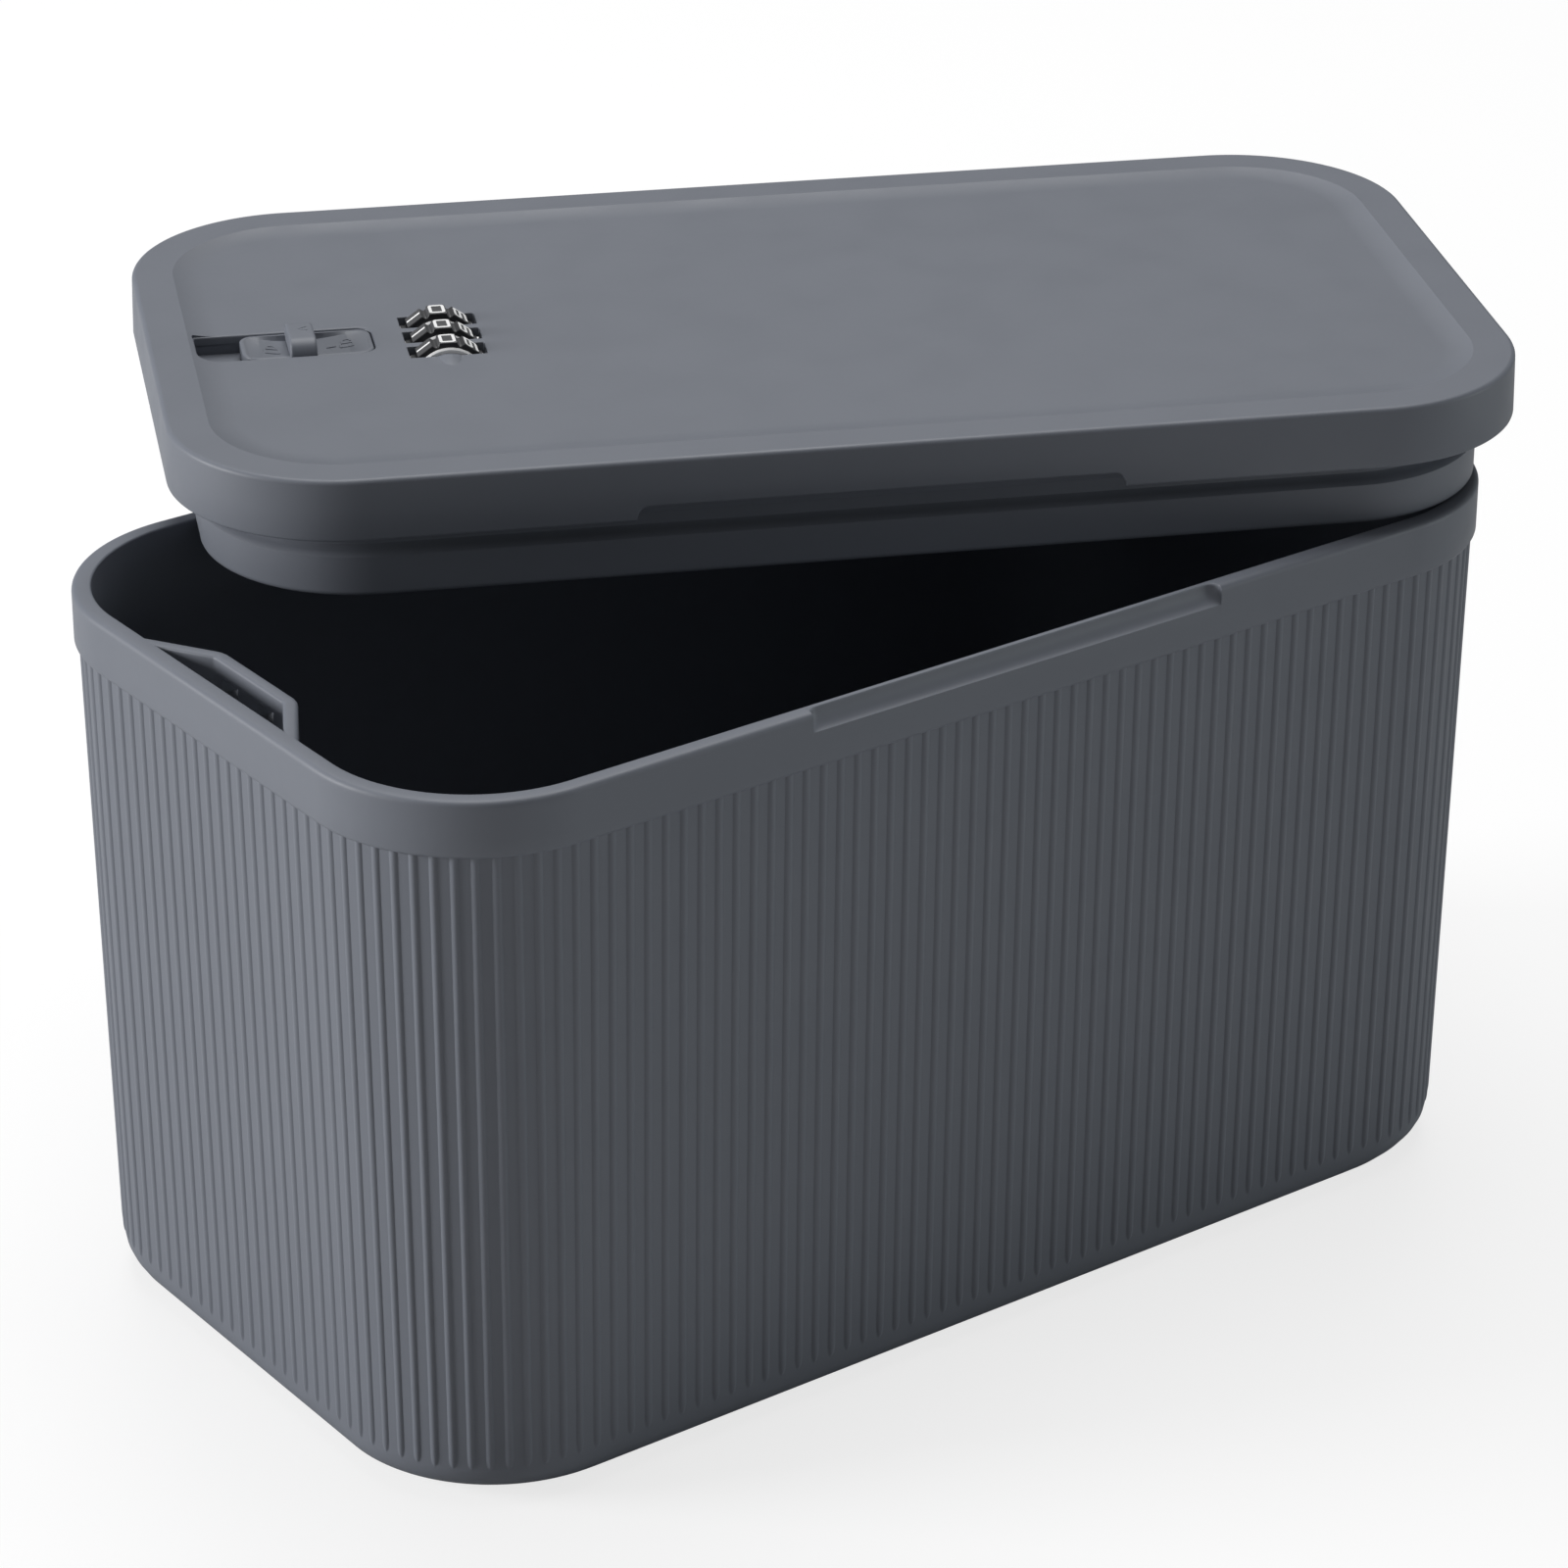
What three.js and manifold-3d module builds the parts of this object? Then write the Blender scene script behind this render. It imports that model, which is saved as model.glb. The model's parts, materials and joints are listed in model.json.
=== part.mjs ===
// Lockable medication box: a ribbed bin, a lift-off lid and a three-dial combination lock.
// Millimetres, +Z up. The origin is the middle of the bin's underside; the lid stands
// turned on the rim, as it is set down when the box is open.

import * as THREE from 'three';
import { mergeVertices } from 'three/addons/utils/BufferGeometryUtils.js';
import Module from 'manifold-3d';

const wasm = await Module();
wasm.setup();

// Box
const BOX_LENGTH = 312;
const BOX_WIDTH = 171;
const BIN_HEIGHT = 174;
const CORNER_RADIUS = 40;
const CORNER_STEPS = 10;
const WALL_DRAFT = 0.84;
const WALL_THICKNESS = 2.4;
const FLOOR_THICKNESS = 3;
const BOTTOM_RADIUS = 9;
const FOOT_CORNER_SOFTENING = 1.6;

// Rim band of the bin
const RIM_BAND_HEIGHT = 13;
const RIM_BAND_PROUD = 1.3;
const RIM_WIDTH = 4.4;
const RIM_EDGE_RADIUS = 1.3;
const RIM_STEP_HEIGHT = 4;

// Upright beads round the wall
const BEAD_PITCH = 4.6;
const BEAD_WIDTH = 2.3;
const BEAD_HEIGHT = 0.85;
const BEAD_CREST = 1;
const BEAD_START = 11.5;
const LAND_PROUD = 0.05;

// Finger gap at the middle of both long sides
const FINGER_GAP_LENGTH = 113;
const RIM_RECESS_DEPTH = 4.4;
const RIM_RECESS_LIP_DROP = 0.9;
const RIM_RECESS_REACH = 2.8;
const SKIRT_NOTCH_HEIGHT = 3.2;
const NOTCH_CORNER_RADIUS = 2.6;

// Catch pocket inside both short sides
const CATCH_BASE_WIDTH = 64;
const CATCH_NOSE_WIDTH = 30;
const CATCH_REACH = 10.4;
const CATCH_WALL = 3.2;
const CATCH_POCKET_DEPTH = 17;
const CATCH_HEIGHT = 27;
const CATCH_WINDOW_CLEARANCE = 0.6;

// Lid
const LID_HEIGHT = 14.3;
const LID_EDGE_RADIUS = 1.1;
const SKIRT_WALL = 2.6;
const SKIRT_LEAN = 0.3;
const PANEL_DROP = 1;
const PANEL_THICKNESS = 2.4;
const BORDER_WIDTH = 10;
const BORDER_STEP_WIDTH = 7;
const PLUG_DEPTH = 16.7;
const PLUG_CORNER_SOFTENING = 4;
const PLUG_WALL = 2.2;
const PLUG_COLLAR_DEPTH = 5.8;
const PLUG_COLLAR_PROUD = 1.2;
const PLUG_RIM_CLEARANCE = 1.7;
const CATCH_CLEARANCE = 1.2;
const LID_RIB_THICKNESS = 1.6;
const LID_RIB_HEIGHT = 5;

// Where the lid stands when it is set down on the rim
const LID_OFFSET_X = 36.5;
const LID_OFFSET_Y = 41.3;
const LID_TURN = -25.65;

// Dials
const DIAL_COUNT = 3;
const DIGITS_PER_DIAL = 10;
const DIAL_PITCH = 9.4;
const DIAL_WIDTH = 5.6;
const DIAL_RADIUS = 9.6;
const DIAL_GROOVE_DEPTH = 0.8;
const DIAL_PROUD = 2.9;
const DIAL_SETBACK = 68.4;
const DIAL_SLOT_LENGTH = 17.9;
const DIAL_SLOT_MARGIN = 0.25;
const SPINDLE_RADIUS = 2;
const SPINDLE_OVERHANG = 2;
const SLEEVE_RADIUS = 3.8;
const FLANGE_RADIUS = 8.3;
const FLANGE_THICKNESS = 0.6;
const FLANGE_FLAT_DEPTH = 1.2;
const SPRING_ROOM = 5.4;
const SPRING_WIRE = 0.9;
const SPRING_TURNS = 3;
const DOME_RADIUS = 7.8;
const DOME_LENGTH = 9.5;

// Latch
const LATCH_TRAVEL = 10;
const RECESS_LENGTH = 41;
const RECESS_WIDTH = 15.5;
const RECESS_DEPTH = 3;
const RECESS_FLOOR = 1.6;
const RECESS_CORNER_RADIUS = 3.6;
const RECESS_SETBACK = 16;
const SLIDER_THICKNESS = 2.2;
const GRIP_WIDTH = 6.2;
const GRIP_X = -1.3;
const GRIP_HEIGHT = 3.2;
const GRIP_SHOULDER = 3.2;
const FOOT_LENGTH = 10;
const FOOT_WIDTH = 5;
const BOLT_THICKNESS = 2;
const PRONG_WIDTH = 5;
const PRONG_SPACING = 14.6;
const PRONG_LENGTH = 12;
const FENCE_TAB_LENGTH = 1.5;
const FENCE_TAB_WIDTH = 1.4;
const BOLT_DROP = 4.7;

// Chassis, cover and small parts
const CHASSIS_LENGTH = 66;
const CHASSIS_WIDTH = 60;
const CHASSIS_FLOOR = 3;
const CHASSIS_SETBACK = 11.9;
const CHEEK_THICKNESS = 2.5;
const CHEEK_WIDTH = 13;
const GUIDE_WIDTH = 2;
const COVER_THICKNESS = 2;
const COVER_GAP = 3.4;
const COVER_LIP = 1.8;
const RESET_TRAVEL = 3;
const LEAF_THICKNESS = 0.5;
const SCREW_RADIUS = 1.3;
const SCREW_HEAD_RADIUS = 2.7;
const SCREW_HEAD_HEIGHT = 1.6;
const BOSS_RADIUS = 3.6;
const BOSS_INSET = 5;
const CHASSIS_SCREW_LENGTH = 11;
const PIN_LENGTH = 3.4;
const CLIP_THICKNESS = 0.6;
const CLIP_GROOVE_RADIUS = 1.4;

// Reset lever: a thumb tab under the cover and a post that reaches the spindle's front end
const RESET_POST_WIDTH = 4;
const RESET_POST_DEPTH = 2.4;
const RESET_PLATE_LENGTH = 16;
const RESET_PLATE_WIDTH = 7.4;
const RESET_TAB_WIDTH = 6;
const RESET_TAB_DEPTH = 4;

// Clearances
const RUNNING_GAP = 0.3;
const SEAT_GAP = 0.3;

const PLASTIC = new THREE.MeshStandardMaterial({ color: 0x62676f, roughness: 0.55, metalness: 0 });
const DIAL_PLASTIC = new THREE.MeshStandardMaterial({ color: 0x2f3237, roughness: 0.5, metalness: 0 });
const WHITE_PLASTIC = new THREE.MeshStandardMaterial({ color: 0xe9eaec, roughness: 0.5, metalness: 0 });
const INNER_PLASTIC = new THREE.MeshStandardMaterial({ color: 0x3b3e43, roughness: 0.6, metalness: 0 });
const STEEL = new THREE.MeshStandardMaterial({ color: 0xb4b7ba, roughness: 0.35, metalness: 1 });

// Levels in the lid's own frame: z = 0 is the skirt's lower edge
const PANEL_TOP = LID_HEIGHT - PANEL_DROP;
const PANEL_UNDERSIDE = PANEL_TOP - PANEL_THICKNESS;
const DIAL_X = DIAL_SETBACK - BOX_LENGTH / 2;
const RECESS_END_X = DIAL_X - RECESS_SETBACK;
const CHASSIS_CENTRE_X = DIAL_X - CHASSIS_SETBACK;
const DIAL_Z = PANEL_TOP + DIAL_PROUD - DIAL_RADIUS;
const BOLT_TOP = -BOLT_DROP;
const BOLT_BOTTOM = BOLT_TOP - BOLT_THICKNESS;
const CHASSIS_TOP = BOLT_BOTTOM - RUNNING_GAP;
const CHASSIS_BOTTOM = CHASSIS_TOP - CHASSIS_FLOOR;
const COVER_TOP = CHASSIS_BOTTOM - COVER_GAP;
const COVER_BOTTOM = COVER_TOP - COVER_THICKNESS;
const RECESS_Z = PANEL_TOP - RECESS_DEPTH;

// Places along the short side, from the catch inwards
const RIM_INNER_X = BOX_LENGTH / 2 - RIM_WIDTH;
const CATCH_NOSE_X = RIM_INNER_X - CATCH_REACH;
const PLUG_INSET = RIM_WIDTH + PLUG_RIM_CLEARANCE + PLUG_COLLAR_PROUD;
const PLUG_NOSE_X = CATCH_NOSE_X - CATCH_CLEARANCE;
const PRONG_TIP_X = -PLUG_NOSE_X + 0.6;
const SLIDER_LENGTH = RECESS_LENGTH - LATCH_TRAVEL - 2 * RUNNING_GAP;
const SLIDER_X = RECESS_END_X - RUNNING_GAP - SLIDER_LENGTH / 2;
const BOLT_WIDTH = PRONG_SPACING + PRONG_WIDTH;
const FENCE_X = DIAL_X + LATCH_TRAVEL / 2;

// Places along the dial spindle
const dialY = (index) => (index - (DIAL_COUNT - 1) / 2) * DIAL_PITCH;
const FRONT_FLANGE_Y = dialY(0) - DIAL_WIDTH / 2 - RUNNING_GAP - FLANGE_THICKNESS;
const SLEEVE_END_Y = dialY(DIAL_COUNT) - DIAL_WIDTH / 2 - 2 * RUNNING_GAP - FLANGE_THICKNESS;
const FENCE_HALF_WIDTH = DIAL_WIDTH / 2 + RUNNING_GAP + FENCE_TAB_WIDTH - dialY(0);
const FRONT_CHEEK_Y = -FENCE_HALF_WIDTH - RUNNING_GAP - CHEEK_THICKNESS / 2;
const REAR_CHEEK_Y = SLEEVE_END_Y + SPRING_ROOM + CHEEK_THICKNESS / 2;
const SPINDLE_FRONT_Y = FRONT_CHEEK_Y - CHEEK_THICKNESS / 2 - SPINDLE_OVERHANG;
const RESET_POST_Y = SPINDLE_FRONT_Y - RESET_TRAVEL - RUNNING_GAP - RESET_POST_DEPTH / 2;
const CLIP_PLACES = [
  FRONT_CHEEK_Y - CHEEK_THICKNESS / 2 - 0.9,
  REAR_CHEEK_Y + CHEEK_THICKNESS / 2 + 0.9,
];

// Places of the fasteners and springs
const onCorners = (halfX, halfY) => [-1, 1].flatMap((signX) => [-1, 1].map((signY) => {
  return [CHASSIS_CENTRE_X + signX * halfX, signY * halfY];
}));
const BOSS_PLACES = onCorners(CHASSIS_LENGTH / 2 - BOSS_INSET, CHASSIS_WIDTH / 2 - BOSS_INSET);
const COVER_SCREW_PLACES = onCorners(CHASSIS_LENGTH * 0.3, CHASSIS_WIDTH / 2 - BOSS_INSET);
const BOLT_SCREW_PLACES = [-FOOT_LENGTH / 4, FOOT_LENGTH / 4];
const BOLT_SCREW_RADIUS = SCREW_RADIUS - RUNNING_GAP;
const BOLT_SCREW_REACH = SCREW_HEAD_RADIUS + RUNNING_GAP;
const BOLT_SCREW_END_X = SLIDER_X - FOOT_LENGTH / 4 - LATCH_TRAVEL - BOLT_SCREW_REACH;
const INDEX_BASE_X = DIAL_X + DIAL_RADIUS + 3.4;
const INDEX_SCREW_PLACES = [-1, 1].map((sign) => [INDEX_BASE_X + 3, sign * DIAL_PITCH * 1.35]);
const CLICK_X = CHASSIS_CENTRE_X - 2 * LATCH_TRAVEL;
const CHASSIS_SEAT = CHASSIS_BOTTOM + CHASSIS_FLOOR * 0.7;
const COVER_SEAT = COVER_BOTTOM + SCREW_HEAD_HEIGHT + RUNNING_GAP;

// Geometry to solid and back
function solidOf(geometry) {
  const bare = geometry.clone();
  bare.deleteAttribute('normal');
  bare.deleteAttribute('uv');
  const merged = mergeVertices(bare, 1e-4);
  const mesh = new wasm.Mesh({
    numProp: 3,
    vertProperties: new Float32Array(merged.attributes.position.array),
    triVerts: new Uint32Array(merged.index.array),
  });
  return new wasm.Manifold(mesh);
}

function geometryOf(solid) {
  const mesh = solid.getMesh();
  const geometry = new THREE.BufferGeometry();
  geometry.setAttribute('position', new THREE.BufferAttribute(new Float32Array(mesh.vertProperties), 3));
  geometry.setIndex(new THREE.BufferAttribute(new Uint32Array(mesh.triVerts), 1));
  geometry.computeVertexNormals();
  return geometry;
}

function join(first, ...others) {
  return others.reduce((sum, geometry) => sum.add(solidOf(geometry)), solidOf(first));
}

function cut(solid, ...tools) {
  return tools.reduce((rest, geometry) => rest.subtract(solidOf(geometry)), solid);
}

// Closed skin through rings of equal length, with a flat cap on the first and the last
function loft(rings) {
  const count = rings[0].length;
  const positions = [];
  for (const ring of rings) {
    for (const point of ring) positions.push(point.x, point.y, point.z);
  }
  const index = [];
  for (let level = 0; level + 1 < rings.length; level += 1) {
    for (let i = 0; i < count; i += 1) {
      const a = level * count + i;
      const b = level * count + (i + 1) % count;
      index.push(a, b, b + count, a, b + count, a + count);
    }
  }
  const flat = (ring) => ring.map((point) => new THREE.Vector2(point.x, point.y));
  for (const [c, b, a] of THREE.ShapeUtils.triangulateShape(flat(rings[0]), [])) index.push(a, b, c);
  const last = (rings.length - 1) * count;
  for (const [a, b, c] of THREE.ShapeUtils.triangulateShape(flat(rings[rings.length - 1]), [])) {
    index.push(last + a, last + b, last + c);
  }
  const geometry = new THREE.BufferGeometry();
  geometry.setAttribute('position', new THREE.Float32BufferAttribute(positions, 3));
  geometry.setIndex(index);
  return geometry;
}

// Rounded rectangle, counter-clockwise, as a ring at height z
function roundedRing(length, width, radius, z, steps = CORNER_STEPS) {
  const ring = [];
  for (let quarter = 0; quarter < 4; quarter += 1) {
    const signX = quarter === 0 || quarter === 3 ? 1 : -1;
    const signY = quarter < 2 ? 1 : -1;
    for (let i = 0; i <= steps; i += 1) {
      const angle = (quarter + i / steps) * Math.PI / 2;
      const x = signX * (length / 2 - radius) + radius * Math.cos(angle);
      const y = signY * (width / 2 - radius) + radius * Math.sin(angle);
      ring.push(new THREE.Vector3(x, y, z));
    }
  }
  return ring;
}

// The box's plan, drawn in by an inset from the rim band's outer face, with its corners widened by an amount
function planRing(inset, z, widening = 0) {
  const radius = CORNER_RADIUS - inset + widening;
  return roundedRing(BOX_LENGTH - 2 * inset, BOX_WIDTH - 2 * inset, radius, z);
}

function box(xMin, xMax, yMin, yMax, zMin, zMax) {
  const geometry = new THREE.BoxGeometry(xMax - xMin, yMax - yMin, zMax - zMin);
  return geometry.translate((xMin + xMax) / 2, (yMin + yMax) / 2, (zMin + zMax) / 2);
}

function uprightCylinder(x, y, zMin, zMax, radius, sides = 12) {
  const geometry = new THREE.CylinderGeometry(radius, radius, zMax - zMin, sides);
  return geometry.rotateX(Math.PI / 2).translate(x, y, (zMin + zMax) / 2);
}

function crossCylinder(x, yMin, yMax, z, radius, sides = 32) {
  const geometry = new THREE.CylinderGeometry(radius, radius, yMax - yMin, sides);
  return geometry.translate(x, (yMin + yMax) / 2, z);
}

// Flat plate with rounded corners and a small bevel all round
function roundedPlate(length, width, radius, zMin, zMax, bevel, steps = 4) {
  const ring = (inset, z) => roundedRing(length - 2 * inset, width - 2 * inset, radius - inset, z, steps);
  if (bevel === 0) return loft([ring(0, zMin), ring(0, zMax)]);
  return loft([ring(bevel, zMin), ring(0, zMin + bevel), ring(0, zMax - bevel), ring(bevel, zMax)]);
}

// Polygon in the X-Z plane, pulled along Y
function pulledAlongY(points, yMin, yMax) {
  const shape = new THREE.Shape(points.map(([x, z]) => new THREE.Vector2(x, z)));
  const geometry = new THREE.ExtrudeGeometry(shape, { depth: yMax - yMin, bevelEnabled: false });
  return geometry.rotateX(Math.PI / 2).translate(0, yMax, 0);
}

// Polygon in the Y-Z plane, pulled along X
function pulledAlongX(points, xMin, xMax) {
  const shape = new THREE.Shape(points.map(([y, z]) => new THREE.Vector2(y, z)));
  const geometry = new THREE.ExtrudeGeometry(shape, { depth: xMax - xMin, bevelEnabled: false });
  return geometry.rotateX(Math.PI / 2).rotateZ(Math.PI / 2).translate(xMin, 0, 0);
}

// Bin
const draftAt = (z) => (BIN_HEIGHT - z) * Math.tan(THREE.MathUtils.degToRad(WALL_DRAFT));
const wallInset = (z) => RIM_BAND_PROUD + draftAt(z);

function quarterTurn(steps) {
  return Array.from({ length: steps + 1 }, (_, i) => (i / steps) * Math.PI / 2);
}

const LEDGE_Z = BIN_HEIGHT - RIM_BAND_HEIGHT;

function binOutside() {
  const rings = [];
  for (const angle of quarterTurn(4)) {
    const z = BOTTOM_RADIUS * (1 - Math.cos(angle));
    const round = BOTTOM_RADIUS * (1 - Math.sin(angle));
    rings.push(planRing(wallInset(z) + round, z, round * FOOT_CORNER_SOFTENING));
  }
  rings.push(planRing(wallInset(LEDGE_Z), LEDGE_Z));
  rings.push(planRing(RIM_EDGE_RADIUS / 3, LEDGE_Z));
  rings.push(planRing(0, LEDGE_Z + RIM_EDGE_RADIUS / 3));
  for (const angle of quarterTurn(2)) {
    const inset = RIM_EDGE_RADIUS * (1 - Math.cos(angle));
    rings.push(planRing(inset, BIN_HEIGHT - RIM_EDGE_RADIUS * (1 - Math.sin(angle))));
  }
  return loft(rings);
}

// The cavity widens below the rim and has a rounded foot
function binInside() {
  const rings = [];
  const footRadius = BOTTOM_RADIUS - WALL_THICKNESS;
  for (const angle of quarterTurn(3)) {
    const z = FLOOR_THICKNESS + footRadius * (1 - Math.cos(angle));
    const round = footRadius * (1 - Math.sin(angle));
    rings.push(planRing(wallInset(z) + WALL_THICKNESS + round, z, round * FOOT_CORNER_SOFTENING));
  }
  const stepBottom = LEDGE_Z - RIM_STEP_HEIGHT;
  rings.push(planRing(wallInset(stepBottom) + WALL_THICKNESS, stepBottom));
  rings.push(planRing(RIM_WIDTH, LEDGE_Z));
  for (const angle of quarterTurn(2)) {
    const inset = RIM_WIDTH - RIM_EDGE_RADIUS * (1 - Math.cos(angle));
    rings.push(planRing(inset, BIN_HEIGHT - RIM_EDGE_RADIUS * (1 - Math.sin(angle))));
  }
  rings.push(planRing(RIM_WIDTH - RIM_EDGE_RADIUS, BIN_HEIGHT + 1));
  return loft(rings);
}

// Point, outward normal and tangent of the box's plan at a distance along it
function planFrame(distance) {
  const straightX = BOX_LENGTH - 2 * CORNER_RADIUS;
  const straightY = BOX_WIDTH - 2 * CORNER_RADIUS;
  const arc = CORNER_RADIUS * Math.PI / 2;
  const stretches = [straightX / 2, arc, straightY, arc, straightX, arc, straightY, arc, straightX / 2];
  let rest = distance;
  let stretch = 0;
  while (rest > stretches[stretch]) {
    rest -= stretches[stretch];
    stretch += 1;
  }
  const corners = Math.floor((stretch + 1) / 2);
  const onArc = stretch % 2 === 1;
  const turned = onArc ? (corners - 1) * Math.PI / 2 + rest / CORNER_RADIUS : corners * Math.PI / 2;
  const angle = turned - Math.PI / 2;
  const normal = new THREE.Vector2(Math.cos(angle), Math.sin(angle));
  const tangent = new THREE.Vector2(-normal.y, normal.x);
  if (onArc) {
    const signX = corners === 1 || corners === 2 ? 1 : -1;
    const signY = corners === 2 || corners === 3 ? 1 : -1;
    const centre = new THREE.Vector2(signX * straightX / 2, signY * straightY / 2);
    return { point: centre.addScaledVector(normal, CORNER_RADIUS), normal, tangent };
  }
  const alongX = corners % 2 === 0;
  const reach = alongX ? BOX_WIDTH / 2 : BOX_LENGTH / 2;
  const start = stretch === 0 ? 0 : -(alongX ? straightX : straightY) / 2;
  const point = normal.clone().multiplyScalar(reach).addScaledVector(tangent, start + rest);
  return { point, normal, tangent };
}

// The wall's plan with all its beads, each a trapezoid that stands on the wall
function beadedRing(z) {
  const perimeter = 2 * (BOX_LENGTH + BOX_WIDTH) - (8 - 2 * Math.PI) * CORNER_RADIUS;
  const count = 2 * Math.round(perimeter / BEAD_PITCH / 2);
  const foot = BEAD_WIDTH / 2;
  const crest = BEAD_CREST / 2;
  const profile = [[-foot, 0], [-crest, BEAD_HEIGHT], [crest, BEAD_HEIGHT], [foot, 0]];
  const ring = [];
  for (let i = 0; i < count; i += 1) {
    const { point, normal, tangent } = planFrame((i + 0.5) * perimeter / count);
    for (const [across, height] of profile) {
      const place = point.clone().addScaledVector(normal, height + LAND_PROUD - wallInset(z));
      place.addScaledVector(tangent, across);
      ring.push(new THREE.Vector3(place.x, place.y, z));
    }
  }
  return ring;
}

// Trapezoid that follows the catch, grown by a margin, at one end of the box
function catchRing(side, margin, baseX, z, shrink = 0) {
  const slope = Math.hypot(1, (CATCH_BASE_WIDTH - CATCH_NOSE_WIDTH) / 2 / CATCH_REACH);
  const noseX = CATCH_NOSE_X - margin + shrink;
  const spread = (CATCH_BASE_WIDTH - CATCH_NOSE_WIDTH) / 2 / CATCH_REACH;
  const noseHalf = CATCH_NOSE_WIDTH / 2 + margin * (slope - spread);
  const baseHalf = noseHalf + (baseX - noseX) * spread;
  const points = [[noseX, noseHalf], [noseX, -noseHalf], [baseX, -baseHalf], [baseX, baseHalf]];
  const ring = points.map(([x, y]) => new THREE.Vector3(side * x, side * y, z));
  return ring;
}

function catchBlock(side) {
  const baseX = RIM_INNER_X + RIM_WIDTH / 2;
  const top = BIN_HEIGHT - RIM_EDGE_RADIUS / 2;
  const ring = (z, shrink) => catchRing(side, 0, baseX, z, shrink);
  return loft([
    ring(BIN_HEIGHT - CATCH_HEIGHT, CATCH_REACH + RIM_WIDTH / 3),
    ring(BIN_HEIGHT - CATCH_POCKET_DEPTH - CATCH_WALL, 0.8),
    ring(top - 0.8, 0),
    ring(top, 0.8),
  ]);
}

function catchPocket(side) {
  const baseX = RIM_INNER_X;
  const ring = (z, shrink) => catchRing(side, -CATCH_WALL, baseX, z, shrink);
  return loft([
    ring(BIN_HEIGHT - CATCH_POCKET_DEPTH, 1),
    ring(BIN_HEIGHT + 1, 0),
  ]);
}

function prongWindows(side, margin, xInner, xOuter, zShift) {
  const windows = [];
  for (const sign of [-1, 1]) {
    const y = sign * PRONG_SPACING / 2;
    const half = PRONG_WIDTH / 2 + margin;
    const [xMin, xMax] = side > 0 ? [xInner, xOuter] : [-xOuter, -xInner];
    const zMin = BOLT_BOTTOM + zShift - margin;
    const zMax = BOLT_TOP + zShift + margin;
    windows.push(box(xMin, xMax, y - half, y + half, zMin, zMax));
  }
  return windows;
}

// Long cutter with two rounded corners, whose depth may change from its outer to its inner end
function fingerCutter(side, reach, outerDepth, innerDepth, edgeZ, direction) {
  const outline = (depth) => {
    const half = FINGER_GAP_LENGTH / 2;
    const points = [[-half - 1, 2], [-half, 0]];
    const radius = Math.min(NOTCH_CORNER_RADIUS, depth);
    for (const angle of quarterTurn(3)) {
      points.push([-half + radius * (1 - Math.cos(angle)), -depth + radius * (1 - Math.sin(angle))]);
    }
    const whole = [...points, ...points.map(([x, z]) => [-x, z]).reverse()];
    return direction > 0 ? whole : whole.map(([x, z]) => [x, -z]).reverse();
  };
  const ring = (y, depth) => outline(depth).map(([x, z]) => new THREE.Vector3(x, edgeZ + z, -y));
  const outer = ring(side * (BOX_WIDTH / 2 + 1), outerDepth);
  const inner = ring(side * (BOX_WIDTH / 2 - reach), innerDepth);
  return loft(side > 0 ? [outer, inner] : [inner, outer]).rotateX(Math.PI / 2);
}

function makeBin() {
  const beads = loft([beadedRing(BEAD_START), beadedRing(LEDGE_Z + RIM_EDGE_RADIUS)]);
  let body = cut(join(binOutside(), beads), binInside());
  const tools = [];
  for (const side of [-1, 1]) {
    const pocket = solidOf(catchBlock(side)).subtract(solidOf(catchPocket(side)));
    body = body.add(pocket);
    const windowEnd = CATCH_NOSE_X + CATCH_WALL + 1;
    tools.push(...prongWindows(side, CATCH_WINDOW_CLEARANCE, CATCH_NOSE_X - 1, windowEnd, BIN_HEIGHT));
    tools.push(fingerCutter(side, RIM_RECESS_REACH, RIM_RECESS_DEPTH, RIM_RECESS_LIP_DROP, BIN_HEIGHT, 1));
  }
  return geometryOf(cut(body, ...tools));
}

// Lid, drawn in its own frame
function lidShell() {
  const rings = [];
  const plugInner = PLUG_INSET + PLUG_WALL;
  const collarInset = PLUG_INSET - PLUG_COLLAR_PROUD;
  const edge = 0.8;
  const plugProfile = [
    [plugInner, PANEL_UNDERSIDE],
    [plugInner, -PLUG_DEPTH + edge],
    [plugInner - edge / 2, -PLUG_DEPTH],
    [PLUG_INSET + edge, -PLUG_DEPTH],
    [PLUG_INSET, -PLUG_DEPTH + edge],
    [PLUG_INSET, -PLUG_COLLAR_DEPTH - PLUG_COLLAR_PROUD],
  ];
  for (const [inset, z] of plugProfile) {
    rings.push(planRing(inset, z, PLUG_CORNER_SOFTENING));
  }
  rings.push(planRing(collarInset, -PLUG_COLLAR_DEPTH));
  rings.push(planRing(collarInset, PANEL_UNDERSIDE));
  rings.push(planRing(SKIRT_WALL + SKIRT_LEAN, PANEL_UNDERSIDE));
  rings.push(planRing(SKIRT_WALL, edge / 2));
  rings.push(planRing(SKIRT_WALL - edge / 2, 0));
  rings.push(planRing(edge / 2, 0));
  rings.push(planRing(0, edge / 2));
  for (const angle of quarterTurn(2)) {
    const inset = SKIRT_LEAN + LID_EDGE_RADIUS * (1 - Math.cos(angle));
    rings.push(planRing(inset, LID_HEIGHT - LID_EDGE_RADIUS * (1 - Math.sin(angle))));
  }
  const steps = 3;
  for (let i = 0; i <= steps; i += 1) {
    const drop = PANEL_DROP * (1 - (1 - i / steps) ** 2);
    rings.push(planRing(BORDER_WIDTH + BORDER_STEP_WIDTH * i / steps, LID_HEIGHT - drop));
  }
  return loft(rings);
}

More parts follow.
